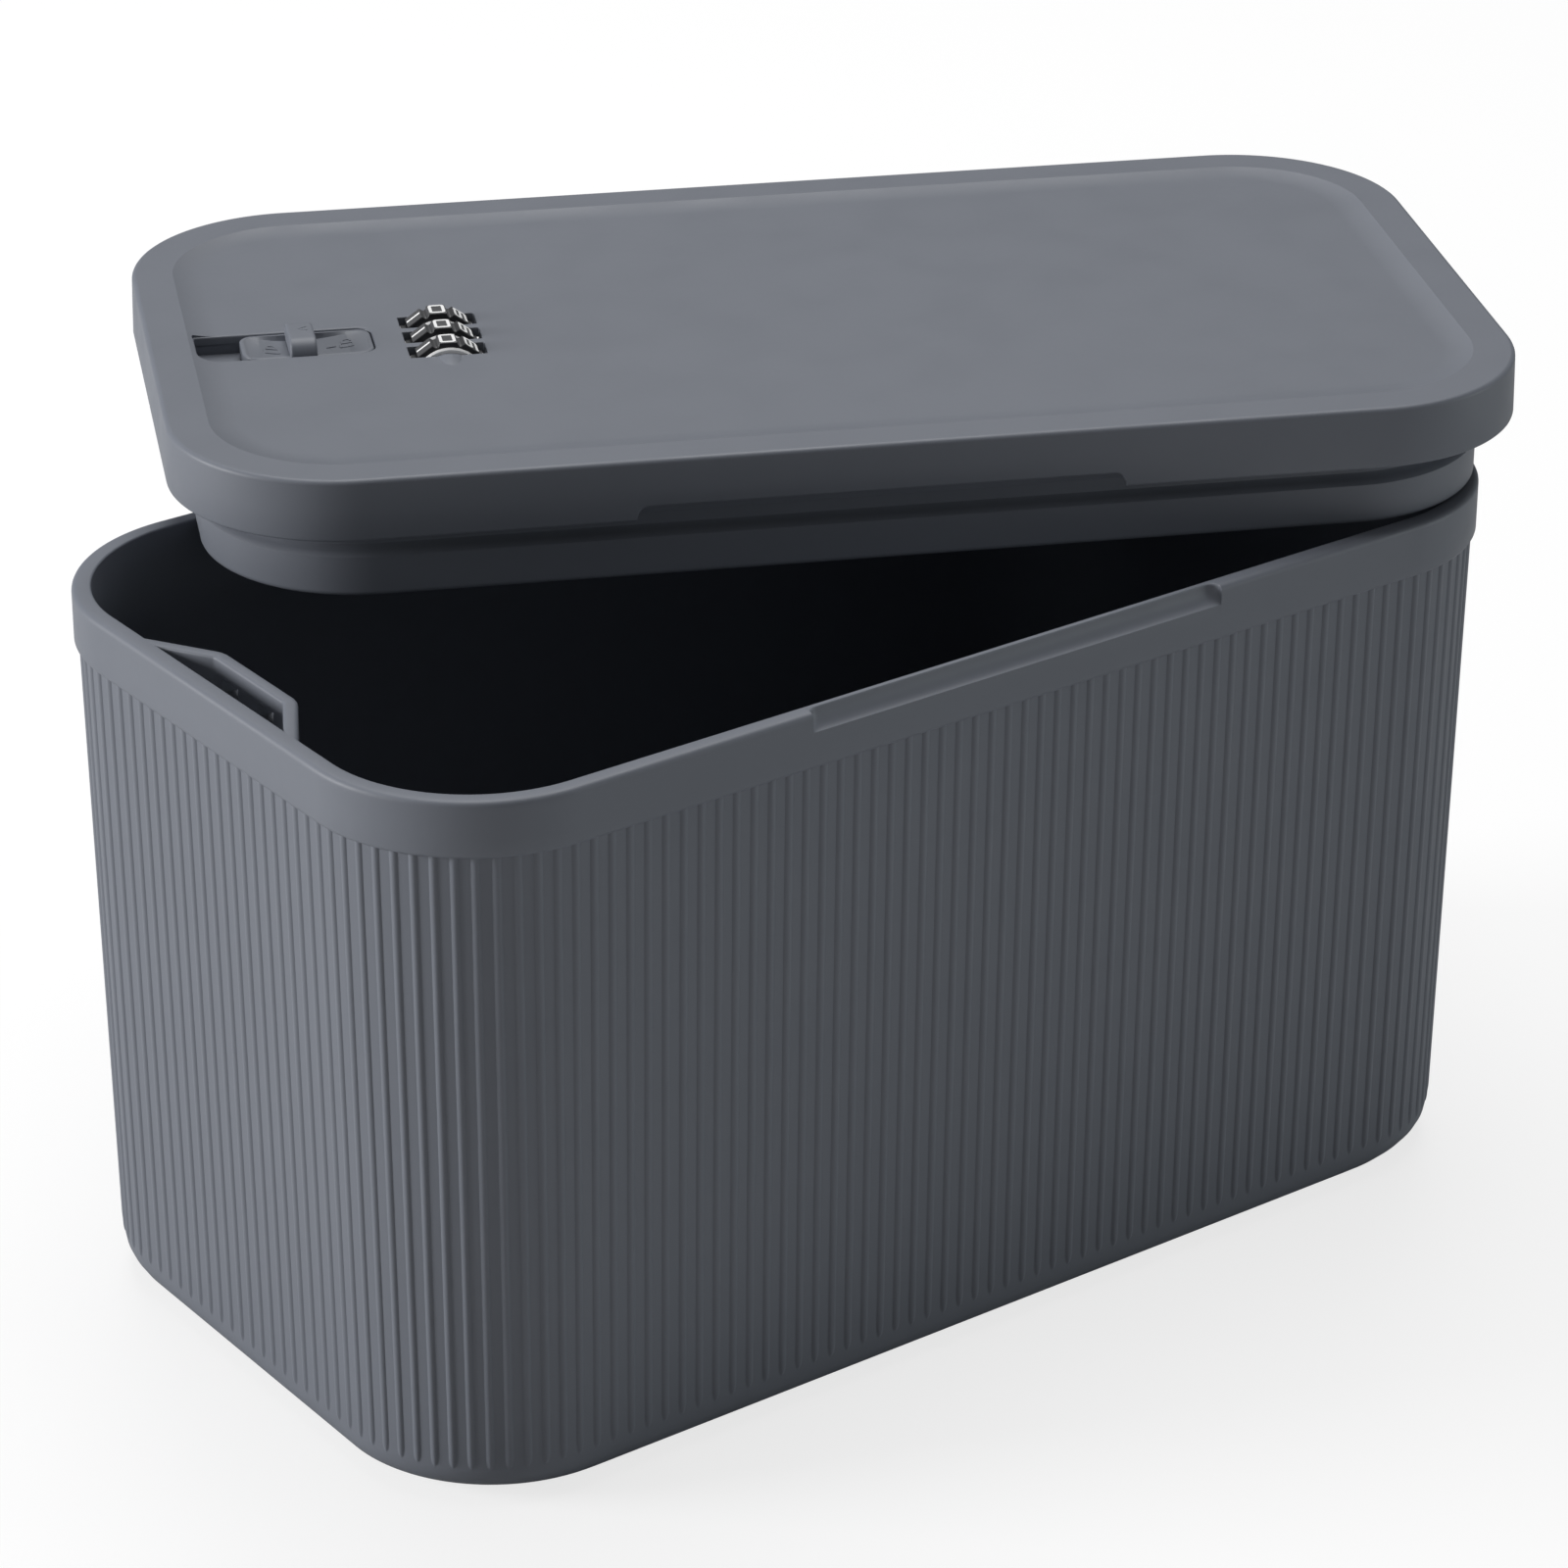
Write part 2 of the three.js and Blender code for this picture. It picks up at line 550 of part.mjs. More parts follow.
// The plug ring steps in around the catch at one end
function plugNotchCut(side) {
  const baseX = BOX_LENGTH / 2 - SKIRT_WALL - SKIRT_LEAN - RUNNING_GAP;
  return loft([
    catchRing(side, CATCH_CLEARANCE, baseX, -PLUG_DEPTH - 1),
    catchRing(side, CATCH_CLEARANCE, baseX, PANEL_UNDERSIDE),
  ]);
}

function plugNotchWall(side) {
  const baseX = BOX_LENGTH / 2 - PLUG_INSET;
  return loft([
    catchRing(side, CATCH_CLEARANCE + PLUG_WALL, baseX, -PLUG_DEPTH),
    catchRing(side, CATCH_CLEARANCE + PLUG_WALL, baseX, PANEL_UNDERSIDE + 0.5),
  ]);
}

function lidRibs() {
  const ribs = [];
  const half = LID_RIB_THICKNESS / 2;
  const bottom = PANEL_UNDERSIDE - LID_RIB_HEIGHT;
  const ribStart = CHASSIS_CENTRE_X + CHASSIS_LENGTH / 2 + BOSS_RADIUS;
  const ribEndX = BOX_LENGTH / 2 - PLUG_INSET - PLUG_WALL / 2 - 0.5;
  const ribEndY = BOX_WIDTH / 2 - PLUG_INSET - PLUG_WALL / 2;
  const catchEnd = PLUG_NOSE_X - PLUG_WALL / 2;
  for (const share of [-1 / 3, 1 / 3]) {
    const y = share * 2 * ribEndY;
    ribs.push(box(-ribEndX, ribEndX, y - half, y + half, bottom, PANEL_UNDERSIDE + 0.5));
  }
  ribs.push(box(ribStart, catchEnd, -half, half, bottom, PANEL_UNDERSIDE + 0.5));
  for (let i = 0; i < 4; i += 1) {
    const x = ribStart + (catchEnd - ribStart) * i / 4;
    ribs.push(box(x - half, x + half, -ribEndY, ribEndY, bottom, PANEL_UNDERSIDE + 0.5));
  }
  return ribs;
}

// Half dome that bulges from the panel over one end of the dial spindle
function spindleDome(y, direction) {
  const profile = [new THREE.Vector2(0, 0)];
  const steps = 6;
  for (let i = 0; i <= steps; i += 1) {
    const angle = (i / steps) * Math.PI / 2;
    profile.push(new THREE.Vector2(DOME_RADIUS * Math.cos(angle), DOME_LENGTH * Math.sin(angle)));
  }
  profile[profile.length - 1].x = 0;
  const dome = new THREE.LatheGeometry(profile, 32);
  if (direction < 0) dome.rotateX(Math.PI);
  dome.translate(DIAL_X, y, DIAL_Z);
  const reach = DOME_RADIUS + DOME_LENGTH;
  const top = PANEL_UNDERSIDE + 0.5;
  const below = box(DIAL_X - reach, DIAL_X + reach, y - reach, y + reach, DIAL_Z - reach, top);
  return cut(solidOf(dome), below);
}

// A dial's slot also takes the flange of its sleeve, on the dial's front side
const SLOT_HALF_WIDTH = DIAL_WIDTH / 2 + DIAL_SLOT_MARGIN;
const slotFront = (index) => dialY(index) - SLOT_HALF_WIDTH - RUNNING_GAP - FLANGE_THICKNESS;
const slotRear = (index) => dialY(index) + SLOT_HALF_WIDTH;

function dialSlots() {
  const half = DIAL_SLOT_LENGTH / 2;
  return Array.from({ length: DIAL_COUNT }, (_, i) => {
    return box(DIAL_X - half, DIAL_X + half, slotFront(i), slotRear(i), 0, LID_HEIGHT + 5);
  });
}

function makeLid() {
  let body = solidOf(lidShell());
  for (const side of [-1, 1]) {
    body = body.add(solidOf(plugNotchWall(side))).subtract(solidOf(plugNotchCut(side)));
  }
  for (const rib of lidRibs()) body = body.add(solidOf(rib));
  const recessX = RECESS_END_X - RECESS_LENGTH / 2;
  const tub = roundedPlate(
    RECESS_LENGTH + 2 * RECESS_FLOOR, RECESS_WIDTH + 2 * RECESS_FLOOR,
    RECESS_CORNER_RADIUS + RECESS_FLOOR, RECESS_Z - RECESS_FLOOR, PANEL_UNDERSIDE + 0.5, 0,
  ).translate(recessX, 0, 0);
  body = body.add(solidOf(tub));
  for (const [x, y] of BOSS_PLACES) {
    const boss = uprightCylinder(x, y, CHASSIS_TOP + SEAT_GAP, PANEL_UNDERSIDE + 0.5, BOSS_RADIUS);
    body = body.add(solidOf(boss));
  }
  body = body.add(spindleDome(slotFront(0), -1)).add(spindleDome(slotRear(DIAL_COUNT - 1), 1));
  const recess = roundedPlate(RECESS_LENGTH, RECESS_WIDTH, RECESS_CORNER_RADIUS, RECESS_Z, LID_HEIGHT + 1, 0);
  const slotStart = SLIDER_X - FOOT_LENGTH / 2 - LATCH_TRAVEL - RUNNING_GAP;
  const slotEnd = SLIDER_X + FOOT_LENGTH / 2 + RUNNING_GAP;
  const slotHalf = FOOT_WIDTH / 2 + RUNNING_GAP;
  const tools = [
    recess.translate(recessX, 0, 0),
    box(slotStart, slotEnd, -slotHalf, slotHalf, 0, RECESS_Z + 1),
    ...dialSlots(),
    ...prongWindows(-1, CATCH_WINDOW_CLEARANCE, PLUG_NOSE_X - PLUG_WALL - 1, PLUG_NOSE_X + 1, 0),
  ];
  for (const [x, y] of BOSS_PLACES) {
    tools.push(uprightCylinder(x, y, CHASSIS_TOP, PANEL_UNDERSIDE - 3, SCREW_RADIUS + RUNNING_GAP, 8));
  }
  for (const side of [-1, 1]) {
    tools.push(fingerCutter(side, SKIRT_WALL + 1, SKIRT_NOTCH_HEIGHT, SKIRT_NOTCH_HEIGHT, 0, -1));
  }
  body = cut(body, ...tools);
  for (const tongue of prongWindows(1, 0, PLUG_NOSE_X - PLUG_WALL / 2, CATCH_NOSE_X + CATCH_WALL + 2, 0)) {
    body = body.add(solidOf(tongue));
  }
  return geometryOf(body);
}

// Latch
function makeLatchSlider() {
  const zMin = RECESS_Z + RUNNING_GAP;
  const zMax = zMin + SLIDER_THICKNESS;
  const width = RECESS_WIDTH - 2 * RUNNING_GAP;
  const plate = roundedPlate(SLIDER_LENGTH, width, RECESS_CORNER_RADIUS - RUNNING_GAP, zMin, zMax, 0.4);
  const top = PANEL_TOP + GRIP_HEIGHT;
  const half = width / 2;
  const arch = [[-half, zMax - 0.5]];
  for (const angle of quarterTurn(4)) {
    arch.push([-half + GRIP_SHOULDER * (1 - Math.cos(angle)), top - GRIP_SHOULDER * (1 - Math.sin(angle))]);
  }
  const mirrored = arch.map(([y, z]) => [-y, z]).reverse();
  const outline = [...arch, ...mirrored].reverse();
  const grip = pulledAlongX(outline, GRIP_X - GRIP_WIDTH / 2, GRIP_X + GRIP_WIDTH / 2);
  const footX = FOOT_LENGTH / 2;
  const footY = FOOT_WIDTH / 2;
  const foot = box(-footX, footX, -footY, footY, BOLT_TOP + SEAT_GAP, zMin + 0.5);
  const holes = BOLT_SCREW_PLACES.map((x) => uprightCylinder(x, 0, BOLT_TOP - 1, 2, SCREW_RADIUS, 8));
  return geometryOf(cut(join(plate, grip, foot), ...holes));
}

// Bolt, drawn about the slider's middle so that both share one place
function makeLatchBolt() {
  const prongStart = PRONG_TIP_X - SLIDER_X;
  const plateStart = prongStart + PRONG_LENGTH;
  const fenceX = FENCE_X - SLIDER_X;
  const armStart = CHASSIS_CENTRE_X - SLIDER_X;
  const parts = [box(plateStart, armStart + 4, -BOLT_WIDTH / 2, BOLT_WIDTH / 2, BOLT_BOTTOM, BOLT_TOP)];
  parts.push(box(armStart, fenceX + 2, -FENCE_HALF_WIDTH, FENCE_HALF_WIDTH, BOLT_BOTTOM, BOLT_TOP));
  for (const sign of [-1, 1]) {
    const y = sign * PRONG_SPACING / 2;
    const half = PRONG_WIDTH / 2;
    const point = [[prongStart, y - half + 1], [prongStart + 1.5, y - half], [plateStart + 1, y - half],
      [plateStart + 1, y + half], [prongStart + 1.5, y + half], [prongStart, y + half - 1]];
    const ring = (z) => point.map(([px, py]) => new THREE.Vector3(px, py, z));
    parts.push(loft([ring(BOLT_BOTTOM), ring(BOLT_TOP)]));
  }
  const tabTop = DIAL_Z - FLANGE_RADIUS + FLANGE_FLAT_DEPTH - RUNNING_GAP;
  for (let i = 0; i < DIAL_COUNT; i += 1) {
    const y = dialY(i) - DIAL_WIDTH / 2 - RUNNING_GAP - FENCE_TAB_WIDTH / 2;
    const halfX = FENCE_TAB_LENGTH / 2;
    const halfY = FENCE_TAB_WIDTH / 2;
    parts.push(box(fenceX - halfX, fenceX + halfX, y - halfY, y + halfY, BOLT_TOP - 0.5, tabTop));
  }
  const holes = BOLT_SCREW_PLACES.map(
    (x) => uprightCylinder(x, 0, BOLT_BOTTOM - 1, BOLT_TOP + 1, SCREW_RADIUS, 8),
  );
  const notches = [0, -LATCH_TRAVEL].map((shift) => {
    const x = CLICK_X - SLIDER_X - shift;
    return uprightCylinder(x, BOLT_WIDTH / 2 + 0.6, BOLT_BOTTOM - 1, BOLT_TOP + 1, 1.6, 12);
  });
  return geometryOf(cut(join(...parts), ...holes, ...notches));
}

// Pan-head slotted screw, head down, with its seat at z = 0
function makeScrew(length, radius) {
  const head = SCREW_HEAD_RADIUS * radius / SCREW_RADIUS;
  const height = SCREW_HEAD_HEIGHT * radius / SCREW_RADIUS;
  const profile = [[0, -height], [head * 0.75, -height], [head, -height * 0.5], [head, 0], [radius, 0],
    [radius, length], [0, length]];
  const body = new THREE.LatheGeometry(profile.map(([r, z]) => new THREE.Vector2(r, z)), 8);
  body.rotateX(Math.PI / 2);
  const slot = head * 0.13;
  const reach = head * 0.62;
  return geometryOf(cut(solidOf(body), box(-reach, reach, -slot, slot, -height - 1, -height * 0.5)));
}

// Dials and sleeves, drawn about the spindle's axis, which runs along Y
function makeDial() {
  const ring = (scale, y) => {
    const points = [];
    for (let digit = 0; digit < DIGITS_PER_DIAL; digit += 1) {
      const middle = digit * 2 * Math.PI / DIGITS_PER_DIAL;
      const groove = DIAL_RADIUS - DIAL_GROOVE_DEPTH;
      const corners = [[-11.5, DIAL_RADIUS], [11.5, DIAL_RADIUS], [14.5, groove], [21.5, groove]];
      for (const [degrees, radius] of corners) {
        const angle = middle + THREE.MathUtils.degToRad(degrees);
        points.push(new THREE.Vector3(radius * scale * Math.sin(angle), radius * scale * Math.cos(angle), y));
      }
    }
    return points.reverse();
  };
  const half = DIAL_WIDTH / 2;
  const body = loft([ring(0.95, -half), ring(1, -half + 0.5), ring(1, half - 0.5), ring(0.95, half)]);
  body.rotateX(Math.PI / 2);
  const bore = crossCylinder(0, -half - 1, half + 1, 0, SLEEVE_RADIUS + RUNNING_GAP, 16);
  return geometryOf(cut(solidOf(body), bore));
}

function makeCodeSleeve() {
  const faceY = -DIAL_WIDTH / 2 - RUNNING_GAP;
  const endY = faceY + DIAL_PITCH - FLANGE_THICKNESS - RUNNING_GAP;
  const body = crossCylinder(0, faceY - 0.5, endY, 0, SLEEVE_RADIUS, 16);
  const flange = crossCylinder(0, faceY - FLANGE_THICKNESS, faceY, 0, FLANGE_RADIUS, 32);
  const flat = -FLANGE_RADIUS + FLANGE_FLAT_DEPTH;
  const bore = crossCylinder(0, faceY - DIAL_PITCH, faceY + DIAL_PITCH, 0, SPINDLE_RADIUS + RUNNING_GAP, 12);
  return geometryOf(cut(join(body, flange), box(-10, 10, -10, 10, flat - 5, flat), bore));
}

function makeDialSpindle() {
  const yMin = FRONT_CHEEK_Y - CHEEK_THICKNESS / 2 - SPINDLE_OVERHANG;
  const yMax = REAR_CHEEK_Y + CHEEK_THICKNESS / 2 + SPINDLE_OVERHANG;
  const body = solidOf(crossCylinder(0, yMin, yMax, 0, SPINDLE_RADIUS, 12));
  const grooves = [];
  for (const y of CLIP_PLACES) {
    const outer = crossCylinder(0, y - CLIP_THICKNESS, y + CLIP_THICKNESS, 0, SPINDLE_RADIUS + 1, 12);
    const inner = crossCylinder(0, y - 2, y + 2, 0, CLIP_GROOVE_RADIUS, 12);
    grooves.push(cut(solidOf(outer), inner));
  }
  return geometryOf(grooves.reduce((rest, groove) => rest.subtract(groove), body));
}

// Open retaining ring, which snaps into a groove of the spindle
function makeSpindleClip() {
  const half = CLIP_THICKNESS / 2;
  const disc = solidOf(crossCylinder(0, -half, half, 0, SPINDLE_RADIUS * 1.8, 16));
  const hole = crossCylinder(0, -2, 2, 0, CLIP_GROOVE_RADIUS + RUNNING_GAP / 2, 12);
  return geometryOf(cut(disc, hole, box(-1.1, 1.1, -2, 2, -6, 0)));
}

class CoilPath extends THREE.Curve {
  constructor(radius, length, turns) {
    super();
    this.radius = radius;
    this.length = length;
    this.turns = turns;
  }

  getPoint(t) {
    const angle = t * this.turns * 2 * Math.PI;
    return new THREE.Vector3(this.radius * Math.cos(angle), t * this.length, this.radius * Math.sin(angle));
  }
}

function makeSleeveSpring() {
  const radius = (SPINDLE_RADIUS + SLEEVE_RADIUS) / 2;
  const length = SPRING_ROOM - 2 * SEAT_GAP - SPRING_WIRE;
  const wire = new THREE.Shape();
  const sides = 5;
  for (let i = 0; i < sides; i += 1) {
    const angle = i * 2 * Math.PI / sides;
    const point = [SPRING_WIRE / 2 * Math.cos(angle), SPRING_WIRE / 2 * Math.sin(angle)];
    if (i === 0) wire.moveTo(...point);
    else wire.lineTo(...point);
  }
  wire.closePath();
  const path = new CoilPath(radius, length, SPRING_TURNS);
  const sweep = { steps: SPRING_TURNS * 12, bevelEnabled: false, extrudePath: path };
  const coil = new THREE.ExtrudeGeometry(wire, sweep);
  return geometryOf(solidOf(coil.translate(0, SLEEVE_END_Y + SEAT_GAP + SPRING_WIRE / 2, 0)));
}

// Leaf bent along a line of points, of even thickness, standing across Y
function leaf(points, yMin, yMax) {
  const line = points.map(([x, z]) => new THREE.Vector2(x, z));
  const side = (sign) => line.map((point, i) => {
    const before = line[Math.max(i - 1, 0)];
    const after = line[Math.min(i + 1, line.length - 1)];
    const along = after.clone().sub(before).normalize();
    return [point.x - sign * along.y * LEAF_THICKNESS / 2, point.y + sign * along.x * LEAF_THICKNESS / 2];
  });
  return pulledAlongY([...side(-1), ...side(1).reverse()], yMin, yMax);
}

function makeIndexSpring() {
  const baseZ = CHASSIS_TOP + SEAT_GAP + LEAF_THICKNESS / 2;
  const contactX = DIAL_X + DIAL_RADIUS + SEAT_GAP + LEAF_THICKNESS / 2;
  const half = DIAL_PITCH * 1.6;
  const thick = LEAF_THICKNESS / 2;
  const strip = box(INDEX_BASE_X, INDEX_BASE_X + 6, -half, half, baseZ - thick, baseZ + thick);
  const fingers = [];
  for (let i = 0; i < DIAL_COUNT; i += 1) {
    const path = [[INDEX_BASE_X + 0.4, baseZ], [INDEX_BASE_X, baseZ + 0.4], [INDEX_BASE_X - 0.6, DIAL_Z - 5],
      [contactX, DIAL_Z - 1], [contactX, DIAL_Z + 0.4], [contactX + 1.2, DIAL_Z + 2]];
    fingers.push(leaf(path, dialY(i) - DIAL_WIDTH / 2.6, dialY(i) + DIAL_WIDTH / 2.6));
  }
  const holes = INDEX_SCREW_PLACES.map(
    ([x, y]) => uprightCylinder(x, y, baseZ - 1, baseZ + 1, SCREW_RADIUS, 8),
  );
  return geometryOf(cut(join(strip, ...fingers), ...holes));
}

// Round-head pin screw, head up, with its seat at z = 0
function makePinScrew() {
  const radius = SCREW_RADIUS - RUNNING_GAP;
  const shank = [[0, -PIN_LENGTH], [radius, -PIN_LENGTH], [radius, 0]];
  const profile = [...shank, [2.2, 0], [2.2, 0.8], [1.5, 1.3], [0, 1.3]];
  const body = new THREE.LatheGeometry(profile.map(([r, z]) => new THREE.Vector2(r, z)), 8);
  body.rotateX(Math.PI / 2);
  return geometryOf(cut(solidOf(body), box(-1.4, 1.4, -0.25, 0.25, 0.7, 2)));
}

// Leaf beside the bolt, whose bump drops into a notch at either end of the travel
function makeClickSpring() {
  const innerY = BOLT_WIDTH / 2 + RUNNING_GAP;
  const outerY = innerY + 1.5;
  const path = [[-9, outerY], [-8.6, outerY], [-2, innerY + 1.1], [-0.8, innerY + LEAF_THICKNESS / 2],
    [0.8, innerY + LEAF_THICKNESS / 2], [2, innerY + 1.1], [8.6, outerY], [9, outerY]];
  const line = path.map(([x, y]) => [CLICK_X + x, y]);
  const half = LEAF_THICKNESS / 2;
  const outline = [...line.map(([x, y]) => [x, y - half]), ...line.map(([x, y]) => [x, y + half]).reverse()];
  const ring = (z) => outline.map(([x, y]) => new THREE.Vector3(x, y, z));
  return geometryOf(solidOf(loft([ring(CHASSIS_TOP + SEAT_GAP), ring(BOLT_TOP + 1.5)])));
}

// Chassis
function makeLockChassis() {
  const plate = roundedPlate(CHASSIS_LENGTH, CHASSIS_WIDTH, BOSS_INSET, CHASSIS_BOTTOM, CHASSIS_TOP, 0);
  plate.translate(CHASSIS_CENTRE_X, 0, 0);
  const parts = [];
  const cheekTop = PANEL_UNDERSIDE - SEAT_GAP;
  for (const y of [FRONT_CHEEK_Y, REAR_CHEEK_Y]) {
    const half = CHEEK_WIDTH / 2;
    const outline = [[DIAL_X - half - 3, CHASSIS_TOP - 0.5], [DIAL_X + half + 3, CHASSIS_TOP - 0.5],
      [DIAL_X + half, cheekTop - 4], [DIAL_X + half - 3, cheekTop], [DIAL_X - half + 3, cheekTop],
      [DIAL_X - half, cheekTop - 4]];
    parts.push(pulledAlongY(outline, y - CHEEK_THICKNESS / 2, y + CHEEK_THICKNESS / 2));
  }
  parts.push(crossCylinder(DIAL_X, FRONT_CHEEK_Y, FRONT_FLANGE_Y - RUNNING_GAP, DIAL_Z, SLEEVE_RADIUS, 16));
  const guideStart = CHASSIS_CENTRE_X - CHASSIS_LENGTH / 2;
  const guideEnd = CHASSIS_CENTRE_X - LATCH_TRAVEL - 2 * RUNNING_GAP;
  for (const sign of [-1, 1]) {
    const gap = sign < 0 ? RUNNING_GAP : 2 * RUNNING_GAP + LEAF_THICKNESS + 1.5;
    const near = BOLT_WIDTH / 2 + gap;
    const [yMin, yMax] = sign < 0 ? [-near - GUIDE_WIDTH, -near] : [near, near + GUIDE_WIDTH];
    parts.push(box(guideStart + BOSS_INSET, guideEnd, yMin, yMax, CHASSIS_TOP - 0.5, BOLT_TOP + 2));
  }
  for (const [x, y] of COVER_SCREW_PLACES) {
    parts.push(uprightCylinder(x, y, CHASSIS_TOP - 0.5, CHASSIS_TOP + 5, BOSS_RADIUS - 0.6));
  }
  const bore = SPINDLE_RADIUS + RUNNING_GAP;
  const tools = [crossCylinder(DIAL_X, FRONT_CHEEK_Y - 5, REAR_CHEEK_Y + 5, DIAL_Z, bore, 12)];
  tools.push(box(
    BOLT_SCREW_END_X, SLIDER_X + FOOT_LENGTH / 4 + BOLT_SCREW_REACH,
    -BOLT_SCREW_REACH, BOLT_SCREW_REACH, CHASSIS_BOTTOM - 1, CHASSIS_TOP + 1,
  ));
  for (const [x, y] of BOSS_PLACES) {
    tools.push(uprightCylinder(x, y, CHASSIS_BOTTOM - 1, CHASSIS_TOP + 1, SCREW_RADIUS + RUNNING_GAP, 8));
    tools.push(uprightCylinder(x, y, CHASSIS_BOTTOM - 1, CHASSIS_SEAT, SCREW_HEAD_RADIUS + RUNNING_GAP));
  }
  for (const [x, y] of COVER_SCREW_PLACES) {
    tools.push(uprightCylinder(x, y, CHASSIS_BOTTOM - 1, CHASSIS_TOP + 4, SCREW_RADIUS + RUNNING_GAP, 8));
  }
  for (const [x, y] of INDEX_SCREW_PLACES) {
    tools.push(uprightCylinder(x, y, CHASSIS_BOTTOM - 1, CHASSIS_TOP + 1, SCREW_RADIUS, 8));
  }
  const half = RESET_POST_WIDTH / 2 + RUNNING_GAP;
  const postReach = RESET_POST_DEPTH / 2 + RUNNING_GAP;
  tools.push(box(
    DIAL_X - half, DIAL_X + half,
    RESET_POST_Y - postReach, RESET_POST_Y + postReach + RESET_TRAVEL, CHASSIS_BOTTOM - 1, CHASSIS_TOP + 1,
  ));
  return geometryOf(cut(join(plate, ...parts), ...tools));
}

function makeResetLever() {
  const plateTop = CHASSIS_BOTTOM - RUNNING_GAP;
  const plateBottom = COVER_TOP + RUNNING_GAP;
  const yMin = RESET_POST_Y - RESET_POST_DEPTH / 2;
  const half = RESET_PLATE_WIDTH / 2;
  const plate = box(DIAL_X - half, DIAL_X + half, yMin, yMin + RESET_PLATE_LENGTH, plateBottom, plateTop);
  const post = box(
    DIAL_X - RESET_POST_WIDTH / 2, DIAL_X + RESET_POST_WIDTH / 2,
    yMin, yMin + RESET_POST_DEPTH, plateTop - 0.5, DIAL_Z + SPINDLE_RADIUS,
  );
  const tabY = yMin + RESET_PLATE_LENGTH / 2;
  const tabs = [-1, 0, 1].map((step) => {
    const y = tabY + step * RESET_TAB_DEPTH / 3;
    const drop = step === 0 ? 0 : 0.5;
    const reach = RESET_TAB_DEPTH / 5;
    const tabX = RESET_TAB_WIDTH / 2;
    const low = COVER_BOTTOM + drop - 0.4;
    return box(DIAL_X - tabX, DIAL_X + tabX, y - reach, y + reach, low, plateBottom + 0.5);
  });
  return geometryOf(join(plate, post, ...tabs));
}

function makeLockCover() {
  const length = CHASSIS_LENGTH + 2 * COVER_LIP;
  const width = CHASSIS_WIDTH + 2 * COVER_LIP;
  const plate = roundedPlate(length, width, BOSS_INSET + COVER_LIP, COVER_BOTTOM, COVER_TOP, 0.5);
  const rim = roundedPlate(length, width, BOSS_INSET + COVER_LIP, COVER_TOP - 0.6, CHASSIS_TOP, 0);
  const room = roundedPlate(
    CHASSIS_LENGTH + 2 * RUNNING_GAP, CHASSIS_WIDTH + 2 * RUNNING_GAP, BOSS_INSET + RUNNING_GAP,
    COVER_TOP, CHASSIS_TOP + 1, 0,
  );
  const body = cut(join(plate, rim), room);
  const local = (geometry) => geometry.translate(-CHASSIS_CENTRE_X, 0, 0);
  const posts = COVER_SCREW_PLACES.map(([x, y]) => {
    return local(uprightCylinder(x, y, COVER_TOP - 0.5, CHASSIS_BOTTOM - SEAT_GAP, BOSS_RADIUS - 0.3));
  });
  const tools = [];
  for (const [x, y] of COVER_SCREW_PLACES) {
    tools.push(local(uprightCylinder(x, y, COVER_BOTTOM - 1, CHASSIS_BOTTOM, SCREW_RADIUS + RUNNING_GAP, 8)));
    tools.push(local(uprightCylinder(x, y, COVER_BOTTOM - 1, COVER_SEAT, SCREW_HEAD_RADIUS + RUNNING_GAP)));
  }
  const tabY = RESET_POST_Y - RESET_POST_DEPTH / 2 + RESET_PLATE_LENGTH / 2;
  const halfX = RESET_TAB_WIDTH / 2 + RUNNING_GAP;
  const halfY = RESET_TAB_DEPTH * 8 / 15 + RUNNING_GAP;
  tools.push(local(box(
    DIAL_X - halfX, DIAL_X + halfX, tabY - halfY, tabY + halfY + RESET_TRAVEL,
    COVER_BOTTOM - 1, COVER_TOP + 1,
  )));
  const screwBottom = BOLT_BOTTOM - SCREW_HEAD_HEIGHT - SEAT_GAP;
  tools.push(local(box(
    BOLT_SCREW_END_X, CHASSIS_CENTRE_X, -BOLT_SCREW_REACH, BOLT_SCREW_REACH, screwBottom, CHASSIS_TOP + 1,
  )));
  const whole = posts.reduce((sum, post) => sum.add(solidOf(post)), body);
  return geometryOf(cut(whole, ...tools));
}

// Assembly
function piece(name, geometry, material, parent, place = [0, 0, 0]) {
  const mesh = new THREE.Mesh(geometry, material);
  mesh.name = name;
  mesh.position.set(...place);
  parent.add(mesh);
  return mesh;
}

const model = new THREE.Group();
piece('bin', makeBin(), PLASTIC, model);

const lidGroup = new THREE.Group();
lidGroup.position.set(LID_OFFSET_X, LID_OFFSET_Y, BIN_HEIGHT + PLUG_DEPTH + SEAT_GAP);
lidGroup.rotation.z = THREE.MathUtils.degToRad(LID_TURN);
model.add(lidGroup);

piece('lid', makeLid(), PLASTIC, lidGroup);
piece('latch_slider', makeLatchSlider(), PLASTIC, lidGroup, [SLIDER_X, 0, 0]);
piece('latch_bolt', makeLatchBolt(), STEEL, lidGroup, [SLIDER_X, 0, 0]);
BOLT_SCREW_PLACES.forEach((x, i) => {
  const geometry = makeScrew(-BOLT_BOTTOM, BOLT_SCREW_RADIUS);
  piece(`bolt_screw_${i + 1}`, geometry, STEEL, lidGroup, [SLIDER_X + x, 0, BOLT_BOTTOM - SEAT_GAP / 2]);
});

